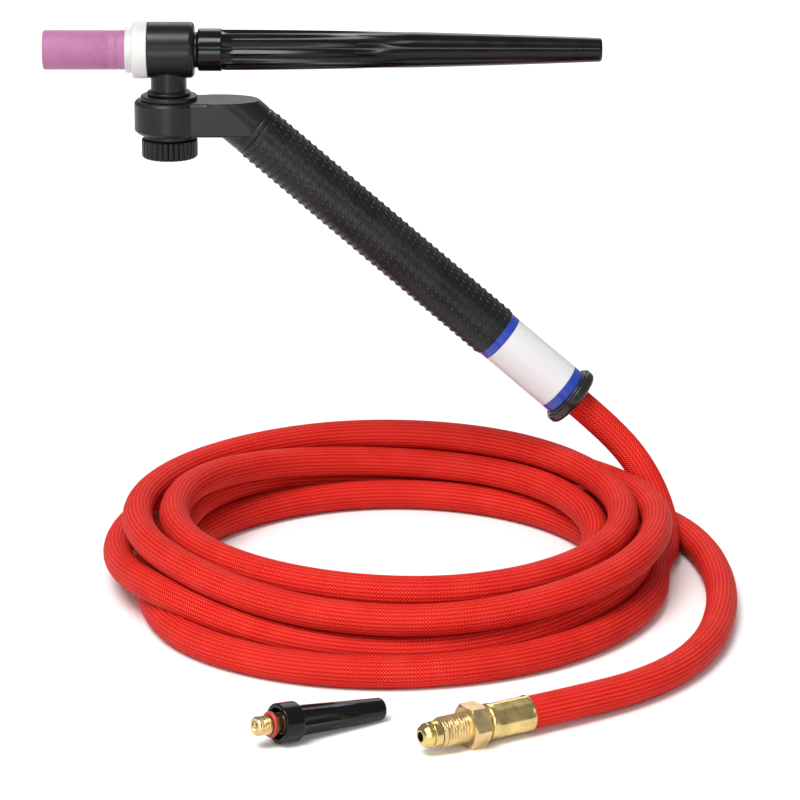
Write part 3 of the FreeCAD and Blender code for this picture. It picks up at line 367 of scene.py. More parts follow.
def named_value(tree, name):
    """A value stored on the mesh."""
    node = tree.nodes.new("ShaderNodeAttribute")
    node.attribute_name = name
    return node.outputs["Fac"]


# The braid is one red yarn. Its colour ramp runs from a painted shade colour, for the grooves
# between ribs and stitches, through the reds to a painted highlight colour for the crests.
THREADS_A_METRE = 1000
CHEVRON_LEAN = 1.15
STITCH_PAINTED_SHADE_CONTRAST = 0.68
CREST_PAINTED_HIGHLIGHT = 0.32
BRAID_DEPTH = 0.16
BRAID_SHINE = 0.06
BRAID_RED = (0.72, 0.010, 0.007)
BRAID_PAINTED_SHADE_TO_HIGHLIGHT = [(0.0, (0.14, 0.001, 0.003)), (0.35, (0.50, 0.003, 0.004)),
                (0.68, (0.74, 0.008, 0.005)), (1.0, (0.95, 0.13, 0.085))]


def braid_material():
    """Red yarn laid in slanting stitches up each side of every rib, with painted highlights on the
    stitch tops and rib crests and painted shade in the dips between them.
    """
    material, tree, shader = new_material("red_braid", BRAID_RED, 0.5)
    along = named_value(tree, "along")
    crest = named_value(tree, "crest")
    lean = math_node(tree, "MULTIPLY", crest, CHEVRON_LEAN)
    stitch = math_node(tree, "MULTIPLY_ADD", along, THREADS_A_METRE, lean)
    wave = math_node(tree, "SINE", math_node(tree, "MULTIPLY", stitch, 2 * math.pi))
    yarn = math_node(tree, "MULTIPLY_ADD", wave, 0.5, 0.5)
    patchy = math_node(tree, "MULTIPLY_ADD", noise(tree, scale=90, detail=2), 0.16, -0.08)
    crest_painted_light = math_node(tree, "POWER", crest, 0.6)
    # Painted light and shade: stitch tops and rib crests painted lighter, the dips between them
    # painted darker, plus a little random tone.
    painted_light_and_tone = math_node(tree, "ADD", math_node(tree, "MULTIPLY", yarn, STITCH_PAINTED_SHADE_CONTRAST),
                      math_node(tree, "MULTIPLY_ADD", crest_painted_light, CREST_PAINTED_HIGHLIGHT, patchy))
    tinted(tree, shader, painted_light_and_tone, BRAID_PAINTED_SHADE_TO_HIGHLIGHT)
    relief = math_node(tree, "MULTIPLY_ADD", crest, 0.3, math_node(tree, "MULTIPLY", yarn, 0.7))
    bump(tree, shader, relief, BRAID_DEPTH)
    shader.inputs["Specular IOR Level"].default_value = BRAID_SHINE
    return material


def plain_mesh(holder):
    """The mesh that an object's modifiers make."""
    graph = bpy.context.evaluated_depsgraph_get()
    return bpy.data.meshes.new_from_object(holder.evaluated_get(graph))


def made_by_nodes(holder, tree, values):
    """The mesh that a node group makes of an object, with values for its named inputs."""
    maker = holder.modifiers.new("maker", "NODES")
    maker.node_group = tree
    for item in tree.interface.items_tree:
        if item.name in values:
            maker[item.identifier] = values[item.name]
    mesh = plain_mesh(holder)
    bpy.data.objects.remove(holder)
    return mesh


hose_path = [vertex.co.copy() for vertex in plain_mesh(hose_line).vertices]
hose_mesh = made_by_nodes(hose_line, braided_tube_nodes(), {
    "Radius": HOSE_DIA / 2 * MM, "Rib Height": RIB_HIGH * MM, "Step": SECTIONS_APART * MM,
    "Ribs": HOSE_RIBS, "Material": braid_material()})
hose_mesh.name = "braided_hose"
hose = bpy.data.objects.new("braided_hose", hose_mesh)
scene.collection.objects.link(hose)
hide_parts("hose_lead", "hose_coil", "hose_tail")
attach(hose, "handle")

# --- Hose fitting: a crimped ferrule, a union nut and a ball-nosed nipple ---------------------
# All three are turned from brass. The ferrule is pressed onto the hose in eight flats, and the
# nut turns freely behind the nipple's shoulder, to draw its ball nose into the power adaptor.
ARC_STEPS = 5
ARC_REACH = 0.45
FLAT_MARGIN = 1.1


def rounded(outline):
    """Points of a (distance, radius, rounding) outline, with its corners as arcs."""
    points = []
    for index, corner in enumerate(outline):
        here = Vector(corner[:2])
        if len(corner) < 3:
            points.append(here)
            continue
        back = Vector(outline[index - 1][:2]) - here
        ahead = Vector(outline[(index + 1) % len(outline)][:2]) - here
        half = back.angle(ahead) / 2
        setback = min(corner[2] / math.tan(half), ARC_REACH * back.length,
                      ARC_REACH * ahead.length)
        radius = setback * math.tan(half)
        back.normalize()
        ahead.normalize()
        centre = here + (back + ahead).normalized() * radius / math.sin(half)
        spoke = here + back * setback - centre
        sweep = spoke.angle_signed(here + ahead * setback - centre)
        points.append(here + back * setback * FLAT_MARGIN)
        for step in range(ARC_STEPS + 1):
            points.append(centre + Matrix.Rotation(-sweep * step / ARC_STEPS, 2) @ spoke)
        points.append(here + ahead * setback * FLAT_MARGIN)
    return points


def turned_mesh(outline, start, way, sides=64, hollow=False, reach=None, step=None):
    """Mesh of an outline turned about a line; reach(along, angle, radius) flutes or threads it.

    A solid piece's outline starts and ends on the line, and a hollow one's closes on itself.
    """
    points = rounded(outline)
    if hollow:
        points.append(points[0])
    if step:
        finer = [points[0]]
        for a, b in zip(points, points[1:]):
            spans = max(1, math.ceil((b - a).length / step))
            finer += [a.lerp(b, (k + 1) / spans) for k in range(spans)]
        points = finer
    turn = Vector((1, 0, 0)).rotation_difference(Vector(way))
    vertices, marks, rings = [], [], []
    for along, radius in points:
        count = sides if radius > 1e-6 else 1
        rings.append([len(vertices) + k % count for k in range(sides)])
        for k in range(count):
            angle = 2 * math.pi * k / sides
            out = reach(along, angle, radius) if reach and count > 1 else radius
            spot = Vector((along, out * math.cos(angle), out * math.sin(angle)))
            vertices.append((Vector(start) + turn @ spot) * MM)
            marks.append(along)
    faces = []
    for near, far in zip(rings, rings[1:]):
        for k in range(sides):
            n = (k + 1) % sides
            loop = list(dict.fromkeys((near[k], near[n], far[n], far[k])))
            if len(loop) > 2:
                faces.append(loop)
    mesh = bpy.data.meshes.new("turned")
    mesh.from_pydata(vertices, [], faces)
    mesh.attributes.new("along", "FLOAT", "POINT").data.foreach_set("value", marks)
    return mesh


CREASE = math.radians(38)


def finished(name, meshes, material, body, finish, *nodes, crease=CREASE):
    """One smooth-shaded piece from closed meshes, in place of its CAD nodes."""
    work = bmesh.new()
    for mesh in meshes:
        work.from_mesh(mesh)
    bmesh.ops.remove_doubles(work, verts=work.verts, dist=1e-7)
    bmesh.ops.recalc_face_normals(work, faces=work.faces)
    whole = meshes[0]
    whole.name = name
    work.to_mesh(whole)
    work.free()
    whole.shade_smooth()
    whole.set_sharp_from_angle(angle=crease)
    whole.materials.clear()
    whole.materials.append(material)
    piece = bpy.data.objects.new(name, whole)
    scene.collection.objects.link(piece)
    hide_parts(*nodes)
    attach(piece, body)
    return piece


def threaded(first, last, pitch, depth):
    """Radius of a helical thread that runs out over part of a turn at each end."""
    def reach(along, angle, radius):
        if not first <= along <= last:
            return radius
        turn = along / pitch + angle / (2 * math.pi)
        valley = (0.5 - 0.5 * math.cos(2 * math.pi * turn)) ** 1.3
        fade = min(1, (along - first) / (0.5 * pitch), (last - along) / (0.5 * pitch))
        return radius - depth * valley * fade
    return reach


def uneven_shine(tree, shader, factor, least, spread):
    """Gives a shader a roughness from least to least + spread, following a factor."""
    tree.links.new(math_node(tree, "MULTIPLY_ADD", factor, spread, least),
                   shader.inputs["Roughness"])


def tool_rings(tree, lines):
    """Fine rings left by turning, with so many lines in 2 pi millimetres of length."""
    along = named_value(tree, "along")
    return math_node(tree, "SINE", math_node(tree, "MULTIPLY", along, lines))


def brass_material(name, color, roughness):
    """Turned brass: fine rings left by the tool, and patches dulled by handling."""
    material, tree, shader = new_material(name, color, roughness, metallic=1.0)
    patches = noise(tree, scale=240, detail=4)
    dull = tuple(0.66 * part for part in color)
    tinted(tree, shader, patches, [(0.3, dull), (0.66, color)])
    uneven_shine(tree, shader, patches, least=roughness - 0.13, spread=0.3)
    relief = math_node(tree, "MULTIPLY_ADD", tool_rings(tree, 32), 0.25,
                       noise(tree, scale=2600, detail=2))
    bump(tree, shader, relief, depth=0.012, strength=0.7)
    return material


FERRULE_BRASS = brass_material("ferrule_brass", (0.80, 0.62, 0.25), 0.25)
NUT_BRASS = brass_material("nut_brass", (0.88, 0.66, 0.34), 0.36)

FERRULE_OUT = 5.7
FERRULE_NECK = 4.6
FERRULE_END = 17.05
FERRULE_OUTLINE = [(0, 0), (0, FERRULE_OUT, 0.5), (15.4, FERRULE_OUT, 1.3),
                   (16.0, FERRULE_NECK, 0.3), (FERRULE_END, FERRULE_NECK), (FERRULE_END, 0)]
CRIMP_FIRST = 0.7
CRIMP_LAST = 13.6
CRIMP_FLATS = 8
CRIMP_FLAT_OUT = 5.42


def crimped(along, angle, radius):
    """The ferrule's barrel pressed in to eight flats with a ridge between each two."""
    if not CRIMP_FIRST < along < CRIMP_LAST or radius < CRIMP_FLAT_OUT:
        return radius
    flat = math.pi / CRIMP_FLATS
    return min(radius, CRIMP_FLAT_OUT / math.cos(angle % (2 * flat) - flat))


ferrule = finished(
    "crimp_ferrule",
    [turned_mesh(FERRULE_OUTLINE, FERRULE_BACK, FITTING_WAY, sides=80, reach=crimped, step=0.5)],
    FERRULE_BRASS, "handle", "ferrule_brass", "hose_ferrule")

HEX_END = 23.05
HEX_FLATS = 12.7
HEX_CORNER = 7.34
HEX_CHAMFER = 0.55
HEX_FACE = HEX_FLATS / 2 - 0.15
THREAD_END = 32.45
THREAD_OUT = 9.525 / 2
THREAD_NOSE = THREAD_OUT - 0.6
THREAD_ROOM = 0.5
THREAD_PITCH = 1.02
THREAD_DEEP = 0.56
NUT_BORE = 3.3
NUT_OUTLINE = [
    (FERRULE_END, NUT_BORE), (FERRULE_END, HEX_FACE), (FERRULE_END + HEX_CHAMFER, HEX_CORNER),
    (HEX_END - HEX_CHAMFER, HEX_CORNER), (HEX_END, HEX_FACE), (HEX_END, THREAD_OUT),
    (THREAD_END - THREAD_ROOM, THREAD_OUT), (THREAD_END, THREAD_NOSE), (THREAD_END, NUT_BORE)]
nut_thread = threaded(HEX_END + 0.3, THREAD_END - 0.1, THREAD_PITCH, THREAD_DEEP)


def nut_reach(along, angle, radius):
    """The nut's six flats, one of them underneath, and the thread in front of them."""
    if along > HEX_END or radius < THREAD_OUT:
        on_thread = radius > THREAD_OUT - THREAD_ROOM
        return nut_thread(along, angle, radius) if on_thread else radius
    return min(radius, HEX_FLATS / 2 / math.cos(angle % (math.pi / 3) - math.pi / 6))


nut = finished(
    "union_nut",
    [turned_mesh(NUT_OUTLINE, FERRULE_BACK, FITTING_WAY, sides=60, hollow=True, reach=nut_reach,
                 step=0.12)],
    NUT_BRASS, "handle", "nut_brass", "hose_nut", crease=math.radians(30))

SHANK_OUT = 3.2
SHOULDER_FIRST = 32.5
SHOULDER_OUT = 3.95
GROOVE_OUT = 3.35
NIPPLE_END = 38.7
NIPPLE_BORE = 1.6
NIPPLE_BORE_FIRST = 31
NIPPLE_OUTLINE = [
    (FERRULE_END, 0), (FERRULE_END, SHANK_OUT), (SHOULDER_FIRST, SHANK_OUT),
    (SHOULDER_FIRST, SHOULDER_OUT, 0.35), (35.1, SHOULDER_OUT, 0.25), (35.3, GROOVE_OUT),
    (35.9, GROOVE_OUT), (36.1, 3.9, 0.2), (36.9, 3.8, 0.8), (38.2, 3.0, 0.8),
    (NIPPLE_END, 2.1, 0.3), (NIPPLE_END, NIPPLE_BORE), (NIPPLE_BORE_FIRST, NIPPLE_BORE),
    (NIPPLE_BORE_FIRST, 0)]
nipple = finished("ball_nipple", [turned_mesh(NIPPLE_OUTLINE, FERRULE_BACK, FITTING_WAY)],
                  FERRULE_BRASS, "handle", "ferrule_brass", "hose_nipple")

# --- Ceramic cup: a fired pink alumina nozzle that screws on in front of the head -------------
# It is pressed and fired in one piece, so it is matt and faintly mottled, with a rounded mouth.
SWIVEL_X = -72.1746
HEAD_Z = 65.1034
HEAD_AXIS = Vector((SWIVEL_X, 0, HEAD_Z))
BACKWARDS = Vector((1, 0, 0))
CUP_FRONT = -43.15
CUP_BACK = -10.65
CUP_OUT = 6.8
CUP_BORE = 5.5
CUP_SOCKET = 5.05
CUP_RINGS = (-20.6, -17.5)
RING_BOTTOM = CUP_OUT - 0.12
PINK = (0.38, 0.14, 0.28)
PINK_MOTTLE = [(0.3, (0.35, 0.125, 0.255)), (0.7, (0.40, 0.148, 0.295))]


def alumina_material():
    """Pink fired ceramic, mottled and very slightly rough."""
    material, tree, shader = new_material("pink_alumina", PINK, 0.55)
    mottle = noise(tree, scale=420, detail=5, roughness=0.6)
    tinted(tree, shader, mottle, PINK_MOTTLE)
    uneven_shine(tree, shader, mottle, least=0.42, spread=0.25)
    bump(tree, shader, noise(tree, scale=3200), depth=0.03, strength=0.5)
    shader.inputs["Specular IOR Level"].default_value = 0.4
    return material


def ring_mark(start):
    """Outline of one shallow ring that the die leaves round the cup."""
    return [(start, CUP_OUT), (start + 0.2, RING_BOTTOM), (start + 0.5, RING_BOTTOM),
            (start + 0.7, CUP_OUT)]


CUP_OUTLINE = [
    (CUP_FRONT, CUP_BORE, 0.5), (CUP_FRONT, CUP_OUT, 0.7), *ring_mark(CUP_RINGS[0]),
    *ring_mark(CUP_RINGS[1]), (CUP_BACK, CUP_OUT, 0.3), (CUP_BACK, CUP_SOCKET),
    (-16.65, CUP_SOCKET), (-16.9, CUP_BORE)]
finished("alumina_cup",
         [turned_mesh(CUP_OUTLINE, HEAD_AXIS, BACKWARDS, sides=96, hollow=True)],
         alumina_material(), "cup", "cup_ceramic", "ceramic_cup")

# --- Cup gasket: the white insulating ring between the cup and the head -----------------------
# It is turned from white PTFE: a thin lip that grips the cup, and a thicker ring with a rounded
# front edge that bears on the head.
LIP_FRONT = -14.75
LIP_OUT = 7.95
CUP_SEAT = 6.83
CUP_SEAT_BACK = -10.6
RING_FRONT = -12.35
RING_BACK = -7.05
RING_OUT = 9.9
RING_BORE = 5.2
GASKET_OUTLINE = [
    (LIP_FRONT, CUP_SEAT, 0.2), (LIP_FRONT, LIP_OUT, 0.5), (RING_FRONT, LIP_OUT),
    (RING_FRONT, RING_OUT, 1.3), (RING_BACK, RING_OUT, 0.45), (RING_BACK, RING_BORE),
    (CUP_SEAT_BACK, RING_BORE), (CUP_SEAT_BACK, CUP_SEAT)]
PTFE_WHITE = (0.62, 0.62, 0.61)
PTFE_HANDLED = (0.52, 0.52, 0.52)


def ptfe_material():
    """White PTFE: faintly waxy, with soft grey marks from handling."""
    material, tree, shader = new_material("white_ptfe", PTFE_WHITE, 0.38)
    marks = noise(tree, scale=160, detail=4)
    tinted(tree, shader, marks, [(0.25, PTFE_HANDLED), (0.55, PTFE_WHITE)])
    bump(tree, shader, tool_rings(tree, 24), depth=0.006, strength=0.6)
    shader.inputs["Subsurface Weight"].default_value = 0.15
    shader.inputs["Subsurface Scale"].default_value = 1.5 * MM
    return material


finished("insulating_gasket",
         [turned_mesh(GASKET_OUTLINE, HEAD_AXIS, BACKWARDS, sides=96, hollow=True)],
         ptfe_material(), "gasket", "gasket_white", "cup_gasket")

# --- Torch head: a drum of heat-resisting resin moulded over the brass core -------------------
# The resin runs down over the core's post with a small fillet, to a thin washer that bears on
# the swivel knuckle.
SWIVEL_AXIS = Vector((SWIVEL_X, 0, 0))
UPWARDS = Vector((0, 0, 1))
DRUM_FRONT = -7
DRUM_BACK = 9.1
DRUM_OUT = 9.7
CORE_BACK = 8.2
CORE_OUT = 7.2
NECK_BACK = 10.2
NECK_OUT = 6.2
NECK_BORE = 4.3
DRUM_OUTLINE = [
    (DRUM_FRONT, CORE_OUT), (DRUM_FRONT, DRUM_OUT, 0.3), (DRUM_BACK, DRUM_OUT, 1.6),
    (DRUM_BACK, NECK_OUT), (NECK_BACK, NECK_OUT, 0.3), (NECK_BACK, NECK_BORE),
    (CORE_BACK, NECK_BORE), (CORE_BACK, CORE_OUT)]
POST_FOOT = 51.0
POST_TOP = 57.85
POST_OUT = 6.2
POST_BORE = 3.95
POST_FILLET = 1.7
POST_OUTLINE = [(POST_FOOT, POST_BORE), (POST_FOOT, POST_OUT), (POST_TOP, POST_OUT),
                (POST_TOP, POST_BORE)]
SPINDLE_HOLE = 4.0
THIN_WASHER_LOW = 49.7
THIN_WASHER_OUT = 7.6
THIN_WASHER_OUTLINE = [
    (THIN_WASHER_LOW, SPINDLE_HOLE), (THIN_WASHER_LOW, THIN_WASHER_OUT, 0.35),
    (50.55, THIN_WASHER_OUT, 0.4), (POST_FOOT, 6.9, 0.3), (POST_FOOT, SPINDLE_HOLE)]


def moulding_material(name, color, roughness, grain=1400, grain_depth=0.02):
    """Black moulded resin with a fine skin grain, a little uneven in its shine."""
    material, tree, shader = new_material(name, color, roughness)
    wear = noise(tree, scale=130, detail=5, roughness=0.6)
    worn = tuple(1.9 * part for part in color)
    tinted(tree, shader, wear, [(0.35, color), (0.8, worn)])
    uneven_shine(tree, shader, wear, least=roughness - 0.1, spread=0.22)
    bump(tree, shader, noise(tree, grain), grain_depth, strength=0.5)
    shader.inputs["Specular IOR Level"].default_value = 0.26
    return material


def filleted(along, angle, radius):
    """The post's radius, opened out where it runs up into the drum."""
    if radius < POST_OUT:
        return radius
    side = radius * math.cos(angle)
    gap = HEAD_Z - math.sqrt(DRUM_OUT ** 2 - side ** 2) - along
    share = min(max(1 - gap / POST_FILLET, 0), 1)
    return radius + POST_FILLET * (1 - math.sqrt(1 - share ** 2))


HEAD_MOULDING = moulding_material("head_moulding", (0.005, 0.005, 0.006), 0.30)
finished("head_drum", [
    turned_mesh(DRUM_OUTLINE, HEAD_AXIS, BACKWARDS, sides=96, hollow=True),
    turned_mesh(POST_OUTLINE, SWIVEL_AXIS, UPWARDS, sides=72, hollow=True, reach=filleted,
                step=0.35),
    turned_mesh(THIN_WASHER_OUTLINE, SWIVEL_AXIS, UPWARDS, sides=72, hollow=True)],
    HEAD_MOULDING, "head", "head_moulding", "head_shell", "post_washer")

# --- Swivel arm: a black resin knuckle and cranked arm between the head and the handle --------
# It is one moulding over a brass bush: a round knuckle, a flat arm, and a round stub that turns
# down to the handle and is cut level with the arm's top. A thin ring caps the knuckle.
ARM_LOW = 36.0
ARM_HIGH = 47.8
ARM_HALF = 9.3
ARM_CHAMFER = 1.0
ARM_LOW_CHAMFER = 0.4
ARM_LEVEL = 41.9034
ELBOW = Vector((-ARM_LEVEL / math.tan(HANDLE_TILT), 0, ARM_LEVEL))
ABOVE_HANDLE = Vector((math.sin(HANDLE_TILT), 0, math.cos(HANDLE_TILT)))
SLAB_ENDS = (SWIVEL_X + 8, ELBOW.x + 12)
KNUCKLE_OUT = 12.1
KNUCKLE_BORE = 5.4
KNUCKLE_OUTLINE = [
    (ARM_LOW, KNUCKLE_BORE), (ARM_LOW, KNUCKLE_OUT - 1.3), (ARM_LOW + 1.2, KNUCKLE_OUT),
    (ARM_HIGH - ARM_CHAMFER, KNUCKLE_OUT), (ARM_HIGH, KNUCKLE_OUT - ARM_CHAMFER),
    (ARM_HIGH, KNUCKLE_BORE)]
STUB_FIRST = -76.0
STUB_LAST = -55.0
STUB_LINE = -57.6
STUB_LINE_OUT = ARM_HALF - 0.35
STUB_OUTLINE = [
    (STUB_FIRST, 0), (STUB_FIRST, ARM_HALF), (STUB_LINE, ARM_HALF),
    (STUB_LINE + 0.1, STUB_LINE_OUT), (STUB_LINE + 0.7, STUB_LINE_OUT),
    (STUB_LINE + 0.8, ARM_HALF), (STUB_LAST, ARM_HALF), (STUB_LAST, 0)]
CAP_RING_HIGH = 49.4
CAP_RING_OUT = 9.85
CAP_RING_OUTLINE = [
    (ARM_HIGH, SPINDLE_HOLE), (ARM_HIGH, CAP_RING_OUT, 0.35),
    (CAP_RING_HIGH, CAP_RING_OUT, 0.55), (CAP_RING_HIGH, SPINDLE_HOLE)]
ARM_VOXEL = 0.3
ARM_SOFTENING = 2
ARM_MOULDING = moulding_material("arm_moulding", (0.008, 0.008, 0.009), 0.32, grain=900)


def cut_off(mesh, place, outwards):
    """Takes away what lies beyond a plane, and closes the cut."""
    work = bmesh.new()
    work.from_mesh(mesh)
    cut = bmesh.ops.bisect_plane(
        work, geom=work.verts[:] + work.edges[:] + work.faces[:], plane_co=Vector(place) * MM,
        plane_no=outwards, clear_outer=True)
    edges = [item for item in cut["geom_cut"] if isinstance(item, bmesh.types.BMEdge)]
    bmesh.ops.edgenet_fill(work, edges=edges)
    work.to_mesh(mesh)
    work.free()
    return mesh


def slab_mesh():
    """The flat arm: a bar with chamfered edges, from inside the knuckle's wall past the elbow."""
    side, low, high = ARM_HALF, ARM_LOW, ARM_HIGH
    edge, low_edge = ARM_CHAMFER, ARM_LOW_CHAMFER
    section = [(-side, low + low_edge), (-side + low_edge, low), (side - low_edge, low),
               (side, low + low_edge), (side, high - edge), (side - edge, high),
               (edge - side, high), (-side, high - edge)]
    ends = [[Vector((x, y, z)) * MM for y, z in section] for x in SLAB_ENDS]
    count = len(section)
    faces = [tuple(range(count)), tuple(reversed(range(count, 2 * count)))]
    faces += [(k, k + count, (k + 1) % count + count, (k + 1) % count) for k in range(count)]
    mesh = bpy.data.meshes.new("slab")
    mesh.from_pydata(ends[0] + ends[1], [], faces)
    return mesh


def merged_moulding(meshes, voxel, rounds):
    """Closed meshes made one skin, with its edges softened as a mould leaves them."""
    work = bmesh.new()
    for mesh in meshes:
        work.from_mesh(mesh)
    bmesh.ops.recalc_face_normals(work, faces=work.faces)
    whole = bpy.data.meshes.new("moulding")
    work.to_mesh(whole)
    work.free()
    holder = bpy.data.objects.new("moulding", whole)
    scene.collection.objects.link(holder)
    skin = holder.modifiers.new("skin", "REMESH")
    skin.mode = "VOXEL"
    skin.voxel_size = voxel * MM
    soften = holder.modifiers.new("soften", "SMOOTH")
    soften.factor = 0.5
    soften.iterations = rounds
    result = plain_mesh(holder)
    bpy.data.objects.remove(holder)
    return result


knuckle = turned_mesh(KNUCKLE_OUTLINE, SWIVEL_AXIS, UPWARDS, sides=120, hollow=True)
slab = cut_off(slab_mesh(), ELBOW, ABOVE_HANDLE)
stub = cut_off(turned_mesh(STUB_OUTLINE, HANDLE_MIDDLE, ALONG_HANDLE, sides=120),
               (0, 0, ARM_HIGH), UPWARDS)
finished("swivel_arm", [
    merged_moulding([knuckle, slab, stub], ARM_VOXEL, ARM_SOFTENING),
    turned_mesh(CAP_RING_OUTLINE, SWIVEL_AXIS, UPWARDS, sides=96, hollow=True)],
    ARM_MOULDING, "handle", "arm_moulding", "arm_body", "knuckle_cap_ring",
    crease=math.radians(60))

# --- Clamp knob and washer: they pinch the knuckle to hold the head at its angle --------------
# The knob is a glossy black moulding with thirty rounded ribs round it, over a brass insert. The
# plain black washer above it goes down with the knob, but doesn't turn.
KNOB_OUT = 9.75
KNOB_LOW = 27.4
KNOB_HIGH = 34.3
KNOB_FLOOR = 28.9
KNOB_BORE = 4.85
KNOB_OUTLINE = [
    (KNOB_LOW, 0), (KNOB_LOW, KNOB_OUT, 1.1), (KNOB_HIGH, KNOB_OUT, 0.8), (KNOB_HIGH, KNOB_BORE),
    (KNOB_FLOOR, KNOB_BORE), (KNOB_FLOOR, 0)]
KNOB_RIBS = 30
KNOB_FLUTE_DEEP = 0.5
WASHER_LOW = 34.35
WASHER_HIGH = 35.95
WASHER_OUT = 9.0
WASHER_OUTLINE = [
    (WASHER_LOW, SPINDLE_HOLE), (WASHER_LOW, WASHER_OUT, 0.35), (WASHER_HIGH, WASHER_OUT, 0.35),
    (WASHER_HIGH, SPINDLE_HOLE)]
GLOSS_MOULDING = moulding_material("gloss_moulding", (0.0025, 0.0025, 0.003), 0.15, grain=500,
                                   grain_depth=0.012)


def ribbed(along, angle, radius):
    """Narrow flutes between rounded ribs, only on the knob's outside."""
    if radius < KNOB_OUT - 1.2:
        return radius
    rib = abs(math.sin(KNOB_RIBS * angle / 2))
    return radius - KNOB_FLUTE_DEEP * (1 - rib) ** 1.6


finished("clamp_knob",
         [turned_mesh(KNOB_OUTLINE, SWIVEL_AXIS, UPWARDS, sides=KNOB_RIBS * 10, reach=ribbed)],
         GLOSS_MOULDING, "knob", "gloss_moulding", "lock_knob")
finished("knuckle_washer",
         [turned_mesh(WASHER_OUTLINE, SWIVEL_AXIS, UPWARDS, sides=96, hollow=True)],
         ARM_MOULDING, "washer", "arm_moulding", "clamp_washer")

# --- Long back cap: it screws in behind the head and holds the electrode's collet tight -------
# A glossy black phenolic moulding over a brass insert: a plain collar, then a tapered body whose
# finger flutes run out before the plain tip.
CAP_FRONT = 10.25
COLLAR_BACK = CAP_FRONT + 8.2
COLLAR_OUT = 7.4
CAP_END = 149.85
CAP_BODY_OUT = 7.1
CAP_TIP_OUT = 4.1
CAP_CURVE = 1.7
CAP_BORE = 1.7
CAP_BORE_END = 147.0
INSERT_ROOM = 3.35
INSERT_ROOM_END = 19.3
SEAL_ROOM = 4.9
SEAL_ROOM_END = CAP_FRONT + 3
CAP_FLUTES = 12
CAP_FLUTE_LONG = 66
CAP_FLUTE_DEEP = 0.95


def fluted(first, last, flutes, depth, inner):
    """Radius with wide finger flutes that start full and run out to nothing."""
    def reach(along, angle, radius):
        if not first < along < last or radius < inner:
            return radius
        full = min(1, (along - first) / 0.4) * (1 - ((along - first) / (last - first)) ** 1.5)
        return radius - depth * full * abs(math.sin(flutes * angle / 2))
    return reach


def taper(first, last, front_out, back_out, curve, spans=30):
    """Outline of a tapered body, up to just before its tip."""
    shares = [k / spans for k in range(spans)]
    return [(first + (last - first) * share, front_out - (front_out - back_out) * share ** curve)
            for share in shares]


CAP_OUTLINE = [
    (CAP_BORE_END, 0), (CAP_BORE_END, CAP_BORE), (INSERT_ROOM_END, CAP_BORE),
    (INSERT_ROOM_END, INSERT_ROOM), (SEAL_ROOM_END, INSERT_ROOM), (SEAL_ROOM_END, SEAL_ROOM),
    (CAP_FRONT, SEAL_ROOM, 0.3), (CAP_FRONT, COLLAR_OUT, 0.7), (COLLAR_BACK, COLLAR_OUT, 0.5),
    *taper(COLLAR_BACK + 0.15, CAP_END, CAP_BODY_OUT, CAP_TIP_OUT, CAP_CURVE),
    (CAP_END, CAP_TIP_OUT, 1.1), (CAP_END, 0)]
cap_flutes = fluted(COLLAR_BACK + 0.1, COLLAR_BACK + CAP_FLUTE_LONG, CAP_FLUTES, CAP_FLUTE_DEEP,
                    inner=3.5)
finished("long_back_cap",
         [turned_mesh(CAP_OUTLINE, HEAD_AXIS, BACKWARDS, sides=CAP_FLUTES * 12, step=4,
                      reach=cap_flutes)],
         GLOSS_MOULDING, "back_cap", "gloss_moulding", "long_cap_body")

# --- Handle grip: a black rubber sleeve with raised dots in staggered rows --------------------
# It is moulded and pushed over the plastic handle tube, up against the arm's stub, and its dots are
# small domes that keep a gloved hand from slipping.
TUBE_OUT = 7.55
GRIP_OUT = 9.3
GRIP_HALF = 55.0
GRIP_OUTLINE = [(-GRIP_HALF, TUBE_OUT), (-GRIP_HALF, GRIP_OUT, 0.4), (GRIP_HALF, GRIP_OUT, 0.4),
                (GRIP_HALF, TUBE_OUT)]
DOT_ROWS = 39
DOTS_AROUND = 28
DOT_PITCH = 2.8
DOT_WIDE = 1.5
DOT_HIGH = 0.38


